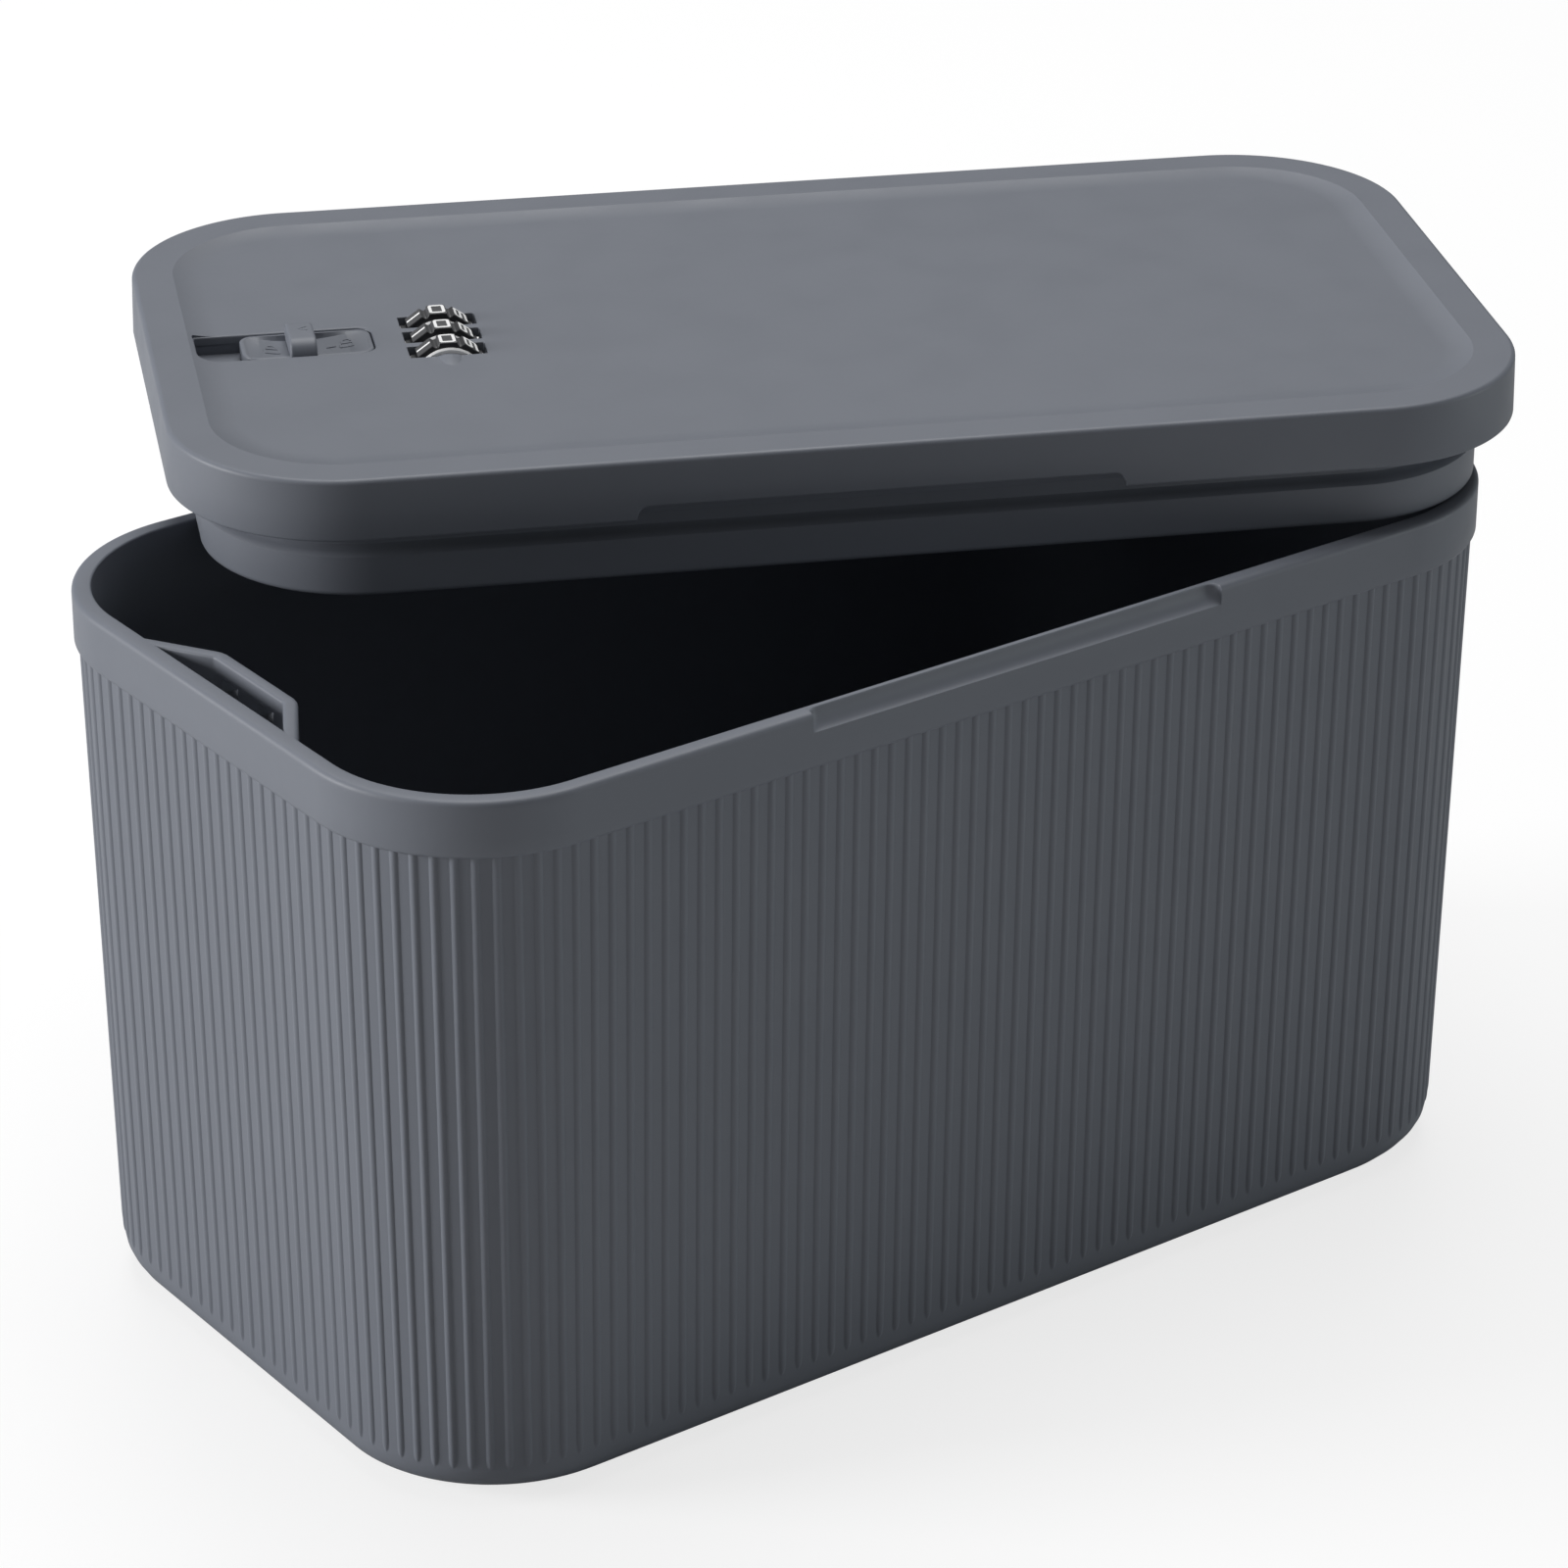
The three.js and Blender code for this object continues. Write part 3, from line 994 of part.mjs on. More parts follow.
const spindlePlace = [DIAL_X, 0, DIAL_Z];
['front', 'middle', 'rear'].forEach((place, i) => {
  piece(`dial_${place}`, makeDial(), DIAL_PLASTIC, lidGroup, [DIAL_X, dialY(i), DIAL_Z]);
  piece(`code_sleeve_${place}`, makeCodeSleeve(), WHITE_PLASTIC, lidGroup, [DIAL_X, dialY(i), DIAL_Z]);
});
piece('dial_spindle', makeDialSpindle(), STEEL, lidGroup, spindlePlace);
['front', 'rear'].forEach((place, i) => {
  piece(`spindle_clip_${place}`, makeSpindleClip(), STEEL, lidGroup, [DIAL_X, CLIP_PLACES[i], DIAL_Z]);
});
piece('sleeve_spring', makeSleeveSpring(), STEEL, lidGroup, spindlePlace);

piece('lock_chassis', makeLockChassis(), INNER_PLASTIC, lidGroup);
BOSS_PLACES.forEach(([x, y], i) => {
  const seat = CHASSIS_SEAT - SEAT_GAP / 2;
  const geometry = makeScrew(CHASSIS_SCREW_LENGTH, SCREW_RADIUS);
  piece(`chassis_screw_${i + 1}`, geometry, STEEL, lidGroup, [x, y, seat]);
});
piece('index_spring', makeIndexSpring(), STEEL, lidGroup);
INDEX_SCREW_PLACES.forEach(([x, y], i) => {
  const seat = CHASSIS_TOP + 1.5 * SEAT_GAP + LEAF_THICKNESS;
  piece(`index_spring_screw_${i + 1}`, makePinScrew(), STEEL, lidGroup, [x, y, seat]);
});
piece('click_spring', makeClickSpring(), STEEL, lidGroup);
piece('reset_lever', makeResetLever(), DIAL_PLASTIC, lidGroup);
piece('lock_cover', makeLockCover(), PLASTIC, lidGroup, [CHASSIS_CENTRE_X, 0, 0]);
COVER_SCREW_PLACES.forEach(([x, y], i) => {
  const seat = COVER_SEAT - SEAT_GAP / 2;
  const geometry = makeScrew(CHASSIS_TOP + 3 - seat, SCREW_RADIUS);
  piece(`cover_screw_${i + 1}`, geometry, STEEL, lidGroup, [x, y, seat]);
});

export default model;
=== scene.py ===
"""Lockable medication box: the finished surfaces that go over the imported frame.

Sizes are in millimetres and turned into metres where a mesh is made. The lid and its lock are drawn in
the lid's own frame, whose z = 0 is the skirt's lower edge, and then set where the frame's lid is.
"""

import json
import math

import bpy
from mathutils import Matrix, Vector


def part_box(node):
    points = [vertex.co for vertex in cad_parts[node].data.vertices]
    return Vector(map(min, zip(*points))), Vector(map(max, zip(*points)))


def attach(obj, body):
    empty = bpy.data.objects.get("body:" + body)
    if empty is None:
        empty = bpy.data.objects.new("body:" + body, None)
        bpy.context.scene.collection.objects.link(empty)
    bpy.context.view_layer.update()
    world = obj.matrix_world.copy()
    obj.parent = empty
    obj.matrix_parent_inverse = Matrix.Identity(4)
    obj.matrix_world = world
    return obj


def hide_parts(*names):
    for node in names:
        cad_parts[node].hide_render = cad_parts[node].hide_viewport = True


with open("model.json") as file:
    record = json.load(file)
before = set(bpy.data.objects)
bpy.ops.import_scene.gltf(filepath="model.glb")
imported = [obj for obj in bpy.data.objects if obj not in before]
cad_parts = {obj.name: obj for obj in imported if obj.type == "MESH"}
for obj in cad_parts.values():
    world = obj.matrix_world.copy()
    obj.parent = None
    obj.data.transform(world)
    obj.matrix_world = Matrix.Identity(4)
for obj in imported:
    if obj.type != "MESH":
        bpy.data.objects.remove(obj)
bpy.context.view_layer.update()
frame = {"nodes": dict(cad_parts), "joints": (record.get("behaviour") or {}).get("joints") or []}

MM = 0.001

# Turn in degrees above which an edge is drawn sharp, by kind of piece, or gets a bevel
SHARP = 32
SHARP_MOULDING = 38
SHARP_DETAIL = 30
SHARP_DIAL = 24
BEVEL_FROM = 35

# Reach of a cutter past what it cuts
CUTTER = 20


def box_mm(node):
    low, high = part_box(node)
    return low / MM, high / MM


# Box
BIN_LOW, BIN_HIGH = box_mm("bin")
BOX_LENGTH = BIN_HIGH.x - BIN_LOW.x
BOX_WIDTH = BIN_HIGH.y - BIN_LOW.y
BIN_HEIGHT = BIN_HIGH.z
CORNER_RADIUS = 40
WALL_DRAFT = math.radians(0.84)
WALL = 2.4
FLOOR = 3
BOTTOM_RADIUS = 9
FOOT_CORNER_SOFTENING = 1.6
BAND_HEIGHT = 13
BAND_PROUD = 1.3
RIM_WIDTH = 4.4
RIM_EDGE = 1.3
RIM_INNER_EDGE = 0.5
RIM_STEP = 4
LEDGE_Z = BIN_HEIGHT - BAND_HEIGHT
# Lower lip of the band, as (inset, height above the ledge)
BAND_LIP = ((0.5, 0), (0.38, 0.06), (0.05, 0.6), (0, 0.8), (0, BAND_HEIGHT / 3))

# Beads of the wall
BEAD_PITCH = 4.6
BEAD_WIDTH = 2.1
BEAD_HEIGHT = 0.47
BEAD_START = 9.5
BEAD_TIP = 3
# Places across half a bead, as shares of the pitch; the bead ends at the last but one
HALF_BEAD = (0.05, 0.1, 0.15, 0.19, 0.228, 0.25)
BEAD_POINTS = (-0.5, *(-share for share in reversed(HALF_BEAD)), 0, *HALF_BEAD)
BEAD_POINT_GAP = 0.08

# Finger gap at the middle of the long sides
GAP_LENGTH = 113
GAP_END = 2.6
GAP_MARGIN = 0.02
# Of the 40 points at the gaps' ends, those that the plan's other points keep away from
ENDS_KEPT_CLEAR = 36
GAP_DROP = 4.4
NOTCH_LENGTH = 111
NOTCH_HEIGHT = 3.2
# Scoop of the gap, first as (inset, height above its sill), then as (inset, depth below the rim)
SCOOP_FOOT = ((0, -0.3), (0.06, -0.06), (0.3, 0), (1.1, 0.35), (1.9, 1.2), (2.4, 2.3))
SCOOP_TOP = ((2.65, 1.3), (2.75, 0.7), (2.8, 0.35), (2.88, 0.14), (3.0, 0.03), (3.15, 0))
# Heights above the sill of the levels beside the gap
BESIDE_SCOOP = (-0.3, -0.1, 0, 0.6, 1.4, 2.2)

# Catch pocket inside both short sides
CATCH_BASE = 64
CATCH_NOSE = 30
CATCH_REACH = 10.4
CATCH_WALL = 3.2
CATCH_CORNER = 1.8
CATCH_EDGE = 0.9
CATCH_POCKET = 17
CATCH_HEIGHT = 27
CATCH_SUNK = 0.004
POCKET_EDGE = 0.7
WINDOW_MARGIN = 0.6
CATCH_NOSE_X = BOX_LENGTH / 2 - RIM_WIDTH - CATCH_REACH

# Lid
LID_LOW, LID_HIGH = box_mm("lid")
LID_HEIGHT = 14.3
LID_EDGE = 1.1
SKIRT_WALL = 2.6
SKIRT_LEAN = 0.3
SKIRT_EDGE = 0.5
LID_FILLET = 0.4
LID_POINTS = 800
LID_POINT_GAP = 0.2
PANEL_DROP = 1
PANEL = 2.4
PANEL_TOP = LID_HEIGHT - PANEL_DROP
PANEL_UNDER = PANEL_TOP - PANEL
BORDER = 10
BORDER_STEP = 7
BORDER_POINTS = 14
PLUG_DEPTH = 16.7
PLUG_CORNER_SOFTENING = 4
PLUG_WALL = 2.2
PLUG_INSET = 7.3
PLUG_FILLET = 0.6
PLUG_INNER_EDGE = 0.8
PLUG_OUTER_EDGE = 1.4

# Collar on the plug, and the neck and shoulder below it, down from the skirt's lower edge
COLLAR_DEPTH = 0.2
COLLAR_PROUD = 1.2
COLLAR_EDGE = 0.4
NECK_SET_BACK = 3
NECK_TOP = COLLAR_DEPTH + 0.6
NECK_END = 5.2
NECK_INNER_SLOPE = 1
SHOULDER_END = 7.2

# Inside of the lid
CATCH_CLEARANCE = 1.2
PLUG_NOSE_X = CATCH_NOSE_X - CATCH_CLEARANCE
RIB = 1.6
RIB_HEIGHT = 5
RIB_EDGE = 0.3
WALL_EDGE = 0.5
BURIED = 0.5

# Lock
DIAL_X = -87.6
DIAL_RADIUS = 9.6
DIAL_PROUD = 2.9
DIAL_Z = PANEL_TOP + DIAL_PROUD - DIAL_RADIUS
DIAL_PITCH = 9.4
DIAL_WIDTH = 5.6
DIAL_GROOVE = 0.9
DIAL_EDGE = 0.42
DIAL_EDGE_SHARE = 0.045
DIAL_NAMES = ("front", "middle", "rear")
DIGIT_STEP = 36
FACET = 12.4
# Groove between two faces of a dial, as (degrees from its middle, share of its depth)
GROOVE = ((-4.1, 0.4), (-2.4, 0.82), (0, 1), (2.4, 0.82), (4.1, 0.4))
SLEEVE_RADIUS = 3.8
SLEEVE_GAP = 0.3
SLEEVE_EDGE = 0.12
SLEEVE_SIDES = 120
FLANGE = 0.6
FLANGE_RADIUS = 8.3
FLANGE_RADII = (FLANGE_RADIUS, 7.9, 7.9)
FLANGE_FLAT = 1.2
FLANGE_SLOPE = 0.42
SPINDLE_RADIUS = 2
BORE_GAP = 0.3
SLOT_LENGTH = 17.9
SLOT_MARGIN = 0.25
SLOT_CORNER = 0.35
SLOT_EDGE = 0.25
DOME_RADIUS = 7.2
DOME_LENGTH = 11.5
DOME_BLUNTNESS = 0.45
PRONG_Z = (-6.7, -4.7)
PRONG_SPACING = 14.6
PRONG_WIDTH = 5
CHASSIS_X = -99.5
CHASSIS_LENGTH = 66
CHASSIS_WIDTH = 60
CHASSIS_TOP = -7
BOSS_RADIUS = 3.6
BOSS_SIDES = 32
BOSS_INSET = 5
BOSS_GAP = 0.3

# Slider and its recess
RECESS_LENGTH = 41
RECESS_WIDTH = 15.5
RECESS_DEPTH = 4.4
RECESS_FLOOR = 1.6
RECESS_CORNER = 3.6
RECESS_CORNERS = (RECESS_CORNER, 0.5, 5, RECESS_CORNER)
RECESS_EDGE = 0.45
RECESS_END_X = -103.6
RECESS_CENTRE = (RECESS_END_X - RECESS_LENGTH / 2, 0)
TUB_CORNER = 2
TRAVEL = 10
SLIDER_GAP = 0.3
SLIDER_LENGTH = RECESS_LENGTH - TRAVEL - 2 * SLIDER_GAP
SLIDER_X = RECESS_END_X - SLIDER_GAP - SLIDER_LENGTH / 2
SLIDER_WIDTH = RECESS_WIDTH - 2 * SLIDER_GAP
SLIDER_LOW = PANEL_TOP - RECESS_DEPTH + SLIDER_GAP
SLIDER_SUNK = 0.25
SLIDER_TOP = PANEL_TOP - SLIDER_SUNK
SLIDER_EDGE = 0.4
SLIDER_LOWER_EDGE = 0.3
DISH_DEPTH = 1.1
DISH_EDGE = 0.1
DISH_END = 0.9
DISH_SLOPE = 0.6
DISH_CORNER = 2.4
DISH_CORNER_SHARE = 0.22
DISH_POINTS = 24
GRIP_WIDTH = 6.2
GRIP_X = -1.3
GRIP_HEIGHT = 3.2
GRIP_EDGE = 0.4
GRIP_CORNER = 3.4
GRIP_BEVEL = 0.45
MARK_STROKE = 0.16
MARK_DEPTH = 0.24
MARK_ROOT = 0.1
FOOT_LENGTH = 10
FOOT_WIDTH = 5
FOOT_LOW = -4.4
FOOT_GAP = 0.3

# Digits, as strokes on a unit cell: x to the right, y up
DIGIT_WIDTH = 4.2
DIGIT_HEIGHT = 3.05
DIGIT_STROKE = 0.72
DIGIT_PROUD = 0.05
DIGIT_ROOT = 0.2
DIGIT_CORNER = 0.55
LOOP = [(0, 0), (1, 0), (1, 1), (0, 1)]
DIGITS = (
    [(LOOP, True)],
    [([(0.5, 0), (0.5, 1)], False)],
    [([(0, 1), (1, 1), (1, 0.5), (0, 0.5), (0, 0), (1, 0)], False)],
    [([(0, 1), (1, 1), (1, 0), (0, 0)], False), ([(0.2, 0.5), (0.9, 0.5)], False)],
    [([(0, 1), (0, 0.4), (0.9, 0.4)], False), ([(1, 1), (1, 0)], False)],
    [([(1, 1), (0, 1), (0, 0.5), (1, 0.5), (1, 0), (0, 0)], False)],
    [([(1, 1), (0, 1), (0, 0), (1, 0), (1, 0.5), (0.1, 0.5)], False)],
    [([(0, 1), (1, 1), (0.45, 0)], False)],
    [(LOOP, True), ([(0.1, 0.5), (0.9, 0.5)], False)],
    [([(0.9, 0.5), (0, 0.5), (0, 1), (1, 1), (1, 0), (0, 0)], False)],
)

# Camera, as measured from the photo's edges
CAMERA_PLACE = Vector((-697.0, -949.8, 686.1))
CAMERA_TURN = math.radians(36.217)
CAMERA_DIP = math.radians(26.209)
CAMERA_ROLL = math.radians(0.12)
CAMERA_LENS = 128.97
CAMERA_SHIFT = (-0.0007, 0.0025)

# Floor: share of the light that it throws back at the box, and what the camera sees of it:
# the share that shows shadows and the even glow under that
FLOOR_PAINT = 0.58
FLOOR_SEEN = 0.26
FLOOR_GLOW = 0.76
FLOOR_SIZE = 6000
FLOOR_Z = -0.2
WORLD_LIGHT = 0.12

# Scales and depths of the noise in plastic and drawn steel; its values lie mostly in NOISE_SPAN
CLOUD_SCALE = 14
GLOSS_SCALE = 60
GRAIN_SCALE = 2600
GRAIN_DEPTH = 0.0002
STREAK_STRETCH = (30, 30, 900)
STREAK_DEPTH = 0.0001
NOISE_SPAN = (0.35, 0.65)


# Where the frame's lid stands: its box is centred on the lid, and the latch slides along its length
latch_joint = next(joint for joint in frame["joints"] if joint["name"] == "latch_slide")
latch_axis = Vector(latch_joint["axis"])
lid_place = (LID_LOW + LID_HIGH) / 2
lid_place.z = LID_LOW.z + PLUG_DEPTH
lid_turn = math.atan2(-latch_axis.y, -latch_axis.x)
LID_MATRIX = Matrix.Translation(lid_place * MM) @ Matrix.Rotation(lid_turn, 4, "Z")


# Plan of the box
def rounded_ring(length, width, radii, z, steps):
    """Ring with one radius, or with one for each corner from +X +Y on, counter-clockwise."""
    ring = []
    for quarter in range(4):
        sign_x = 1 if quarter in (0, 3) else -1
        sign_y = 1 if quarter < 2 else -1
        radius = max(radii[quarter] if isinstance(radii, tuple) else radii, 0.05)
        for i in range(steps + 1):
            angle = (quarter + i / steps) * math.pi / 2
            x = sign_x * (length / 2 - radius) + radius * math.cos(angle)
            y = sign_y * (width / 2 - radius) + radius * math.sin(angle)
            ring.append(Vector((x, y, z)))
    return ring


def plan_length():
    return 2 * (BOX_LENGTH + BOX_WIDTH) - (8 - 2 * math.pi) * CORNER_RADIUS


def plan_frame(distance):
    """Point and outward normal of the plan at a distance along it, from the middle of the front side."""
    straight_x = BOX_LENGTH - 2 * CORNER_RADIUS
    straight_y = BOX_WIDTH - 2 * CORNER_RADIUS
    arc = CORNER_RADIUS * math.pi / 2
    rest = distance % plan_length() + straight_x / 2
    angle = -math.pi / 2
    centre = Vector((straight_x / 2, -straight_y / 2))
    for side in range(5):
        straight = straight_x if side % 2 == 0 else straight_y
        normal = Vector((math.cos(angle), math.sin(angle)))
        tangent = Vector((-normal.y, normal.x))
        if rest <= straight:
            return centre + normal * CORNER_RADIUS + tangent * (rest - straight), normal
        rest -= straight
        if rest <= arc:
            turned = angle + rest / CORNER_RADIUS
            normal = Vector((math.cos(turned), math.sin(turned)))
            return centre + normal * CORNER_RADIUS, normal
        rest -= arc
        angle += math.pi / 2
        after = straight_y if side % 2 == 0 else straight_x
        centre = centre + Vector((-math.sin(angle), math.cos(angle))) * after
    raise ValueError("distance beyond the plan")


def depth_at(point, normal, inset, widening):
    """How far inwards a ring lies whose corner radius is widened."""
    dx = abs(point.x) - BOX_LENGTH / 2 + CORNER_RADIUS + widening
    dy = abs(point.y) - BOX_WIDTH / 2 + CORNER_RADIUS + widening
    if widening == 0 or dx <= 0 or dy <= 0:
        return inset
    along = dx * abs(normal.x) + dy * abs(normal.y)
    radius = CORNER_RADIUS + widening - inset
    return along - math.sqrt(radius ** 2 - dx ** 2 - dy ** 2 + along ** 2)


def smooth_step(value):
    value = min(max(value, 0), 1)
    return value * value * (3 - 2 * value)


def gap_share(point, normal, length):
    """1 inside the finger gap of the long sides, 0 outside it, with rounded ends between."""
    if abs(normal.y) < 0.999:
        return 0
    reach = (length / 2 - abs(point.x)) / GAP_END
    return math.sqrt(max(0, 1 - (1 - min(max(reach, 0), 1)) ** 2))


def gap_places(length):
    """Distances along the plan at which the rounded ends of both finger gaps need a point."""
    offsets = [GAP_MARGIN, *(-back for back, _ in round_edge(8, GAP_END))]
    ends = [length / 2 + offset for offset in offsets]
    return [middle + sign * end for middle in (0, plan_length() / 2) for sign in (-1, 1) for end in ends]


# Meshes
def loft(rings, close_first=True, close_last=True):
    count = len(rings[0])
    vertices = [point for ring in rings for point in ring]
    faces = []
    for level in range(len(rings) - 1):
        for i in range(count):
            a = level * count + i
            b = level * count + (i + 1) % count
            faces.append((a, b, b + count, a + count))
    if close_first:
        faces.append(tuple(reversed(range(count))))
    if close_last:
        faces.append(tuple(range(len(vertices) - count, len(vertices))))
    return vertices, faces


def joined(*shapes):
    vertices = []
    faces = []
    for shape_vertices, shape_faces in shapes:
        start = len(vertices)
        vertices += shape_vertices
        faces += [tuple(start + i for i in face) for face in shape_faces]
    return vertices, faces


def mesh_object(name, shape, material, sharp=SHARP):
    vertices, faces = shape
    mesh = bpy.data.meshes.new(name)
    mesh.from_pydata([Vector(point) * MM for point in vertices], [], faces)
    mesh.validate()
    obj = bpy.data.objects.new(name, mesh)
    bpy.context.scene.collection.objects.link(obj)
    mesh.materials.append(material)
    shade(obj, sharp)
    return obj


def shade(obj, sharp):
    obj.data.shade_smooth()
    obj.data.set_sharp_from_angle(angle=math.radians(sharp))


def bake(obj, sharp):
    """Turns the object's modifiers into its mesh."""
    graph = bpy.context.evaluated_depsgraph_get()
    mesh = bpy.data.meshes.new_from_object(obj.evaluated_get(graph))
    obj.modifiers.clear()
    old = obj.data
    obj.data = mesh
    bpy.data.meshes.remove(old)
    shade(obj, sharp)
    return obj


def cut_away(obj, tools, sharp=SHARP):
    for tool in tools:
        modifier = obj.modifiers.new("cut", "BOOLEAN")
        modifier.operation = "DIFFERENCE"
        modifier.solver = "EXACT"
        modifier.object = tool
    bake(obj, sharp)
    for tool in tools:
        mesh = tool.data
        bpy.data.objects.remove(tool)
        bpy.data.meshes.remove(mesh)
    return obj


def cutters(shapes):
    return [mesh_object("cutter", shape, SLATE) for shape in shapes]


def bevel(obj, width, segments=2):
    modifier = obj.modifiers.new("edges", "BEVEL")
    modifier.width = width * MM
    modifier.segments = segments
    modifier.limit_method = "ANGLE"
    modifier.angle_limit = math.radians(BEVEL_FROM)
    modifier.harden_normals = False
    return bake(obj, SHARP)


def make_outward(obj):
    """Flips a closed mesh whose faces look inwards."""
    mesh = obj.data
    mesh.calc_loop_triangles()
    volume = 0
    for triangle in mesh.loop_triangles:
        a, b, c = (mesh.vertices[i].co for i in triangle.vertices)
        volume += a.dot(b.cross(c))
    if volume < 0:
        mesh.flip_normals()


def box_shape(x0, x1, y0, y1, z0, z1):
    ring = [(x0, y0), (x1, y0), (x1, y1), (x0, y1)]
    return loft([[Vector((x, y, z)) for x, y in ring] for z in (z0, z1)])


def plate_shape(length, width, radius, levels, steps, centre):
    """Rounded plate through levels of (inset, z)."""
    rings = []
    for inset, z in levels:
        drawn = tuple(r - inset for r in radius) if isinstance(radius, tuple) else radius - inset
        ring = rounded_ring(length - 2 * inset, width - 2 * inset, drawn, z, steps)
        rings.append([Vector((p.x + centre[0], p.y + centre[1], z)) for p in ring])
    return loft(rings)


def boss_shape(x, y, z0, z1):
    angles = [2 * math.pi * i / BOSS_SIDES for i in range(BOSS_SIDES)]
    ring = [(x + BOSS_RADIUS * math.cos(angle), y + BOSS_RADIUS * math.sin(angle)) for angle in angles]
    return loft([[Vector((px, py, z)) for px, py in ring] for z in (z0, z1)])


def turned_along_y(profile, centre, sides=96):
    """Body turned about an axis along Y, from a profile of (radius, y)."""
    rings = []
    for radius, y in profile:
        ring = []
        for i in range(sides):
            angle = 2 * math.pi * i / sides
            x = centre[0] + radius * math.sin(angle)
            ring.append(Vector((x, y, centre[1] + radius * math.cos(angle))))
        rings.append(ring)
    return loft(rings)


def arc_points(steps):
    """Angles from 0 to a right angle."""
    return [math.pi / 2 * i / steps for i in range(steps + 1)]


def round_edge(steps, radius):
    """Quarter arc as distances from two sides: (0, radius) first and (radius, 0) last."""
    return [(radius * (1 - math.cos(angle)), radius * (1 - math.sin(angle))) for angle in arc_points(steps)]


# Materials
def noise(tree, scale, detail, roughness=0.55):
    coordinates = tree.nodes.new("ShaderNodeTexCoord")
    made = tree.nodes.new("ShaderNodeTexNoise")
    made.inputs["Scale"].default_value = scale
    made.inputs["Detail"].default_value = detail
    made.inputs["Roughness"].default_value = roughness
    tree.links.new(coordinates.outputs["Object"], made.inputs["Vector"])
    return made


def ramp(tree, source, low, high):
    made = tree.nodes.new("ShaderNodeMapRange")
    made.inputs["From Min"].default_value = NOISE_SPAN[0]
    made.inputs["From Max"].default_value = NOISE_SPAN[1]
    made.inputs["To Min"].default_value = low
    made.inputs["To Max"].default_value = high
    tree.links.new(source, made.inputs["Value"])
    return made


def moulded_plastic(name, colour, roughness, grain=0.05, cloud=0.04):
    """Satin moulding: faint flow clouds in the colour, a fine spark-eroded grain and uneven gloss."""
    material = bpy.data.materials.new(name)
    material.use_nodes = True
    tree = material.node_tree
    shader = tree.nodes["Principled BSDF"]
    clouds = noise(tree, CLOUD_SCALE, 3)
    mix = tree.nodes.new("ShaderNodeMix")
    mix.data_type = "RGBA"
    mix.inputs["A"].default_value = (*[c * (1 - cloud) for c in colour], 1)
    mix.inputs["B"].default_value = (*[c * (1 + cloud) for c in colour], 1)
    tree.links.new(clouds.outputs["Fac"], mix.inputs["Factor"])
    tree.links.new(mix.outputs["Result"], shader.inputs["Base Color"])
    uneven = noise(tree, GLOSS_SCALE, 4)
    gloss = ramp(tree, uneven.outputs["Fac"], roughness - 0.04, roughness + 0.05)
    tree.links.new(gloss.outputs["Result"], shader.inputs["Roughness"])
    fine = noise(tree, GRAIN_SCALE, 2, 0.7)
    bump = tree.nodes.new("ShaderNodeBump")
    bump.inputs["Strength"].default_value = grain
    bump.inputs["Distance"].default_value = GRAIN_DEPTH
    tree.links.new(fine.outputs["Fac"], bump.inputs["Height"])
    tree.links.new(bump.outputs["Normal"], shader.inputs["Normal"])
    return material


def metal(name, colour, roughness):
    """Drawn steel: fine streaks along the piece in gloss and bump."""
    material = bpy.data.materials.new(name)
    material.use_nodes = True
    tree = material.node_tree
    shader = tree.nodes["Principled BSDF"]
    shader.inputs["Base Color"].default_value = (*colour, 1)
    shader.inputs["Metallic"].default_value = 1
    coordinates = tree.nodes.new("ShaderNodeTexCoord")
    mapping = tree.nodes.new("ShaderNodeMapping")
    mapping.inputs["Scale"].default_value = STREAK_STRETCH
    streaks = tree.nodes.new("ShaderNodeTexNoise")
    streaks.inputs["Scale"].default_value = 8
    streaks.inputs["Detail"].default_value = 4
    tree.links.new(coordinates.outputs["Object"], mapping.inputs["Vector"])
    tree.links.new(mapping.outputs["Vector"], streaks.inputs["Vector"])
    gloss = ramp(tree, streaks.outputs["Fac"], roughness - 0.08, roughness + 0.1)
    tree.links.new(gloss.outputs["Result"], shader.inputs["Roughness"])
    bump = tree.nodes.new("ShaderNodeBump")
    bump.inputs["Strength"].default_value = 0.08
    bump.inputs["Distance"].default_value = STREAK_DEPTH
    tree.links.new(streaks.outputs["Fac"], bump.inputs["Height"])
    tree.links.new(bump.outputs["Normal"], shader.inputs["Normal"])
    return material


SLATE = moulded_plastic("slate_plastic", (0.165, 0.179, 0.211), 0.5)
CHARCOAL = moulded_plastic("charcoal_plastic", (0.075, 0.076, 0.08), 0.4, grain=0.03)
# Darker copy of the dial plastic: painted shade for the dials' side faces, which sit in the gaps between the
# dials
PAINTED_SIDE_SHADE = moulded_plastic("dial_side_painted_shade", (0.012, 0.012, 0.014), 0.5, grain=0.03)
WHITE = moulded_plastic("white_plastic", (0.9, 0.9, 0.9), 0.4, grain=0.02, cloud=0.01)
INK = moulded_plastic("digit_paint", (0.94, 0.94, 0.94), 0.55, grain=0.02, cloud=0.01)
INNER = moulded_plastic("inner_plastic", (0.05, 0.053, 0.058), 0.55)
STEEL = metal("drawn_steel", (0.62, 0.63, 0.64), 0.32)
SPRING_STEEL = metal("spring_steel", (0.52, 0.54, 0.56), 0.28)


# Bin
def wall_inset(z):
    return BAND_PROUD + (BIN_HEIGHT - z) * math.tan(WALL_DRAFT)


def bead_profile(share, z):
    """Height of a bead above the wall, rounded across and at its lower end."""
    grown = min(max((z - BEAD_START) / BEAD_TIP, 0), 1)
    grown = math.sqrt(1 - (1 - grown) ** 2)
    across = abs(share) * BEAD_PITCH / (BEAD_WIDTH / 2) / max(grown, 0.001)
    if across >= 1:
        return 0
    return BEAD_HEIGHT * grown * (1 - across ** 2)


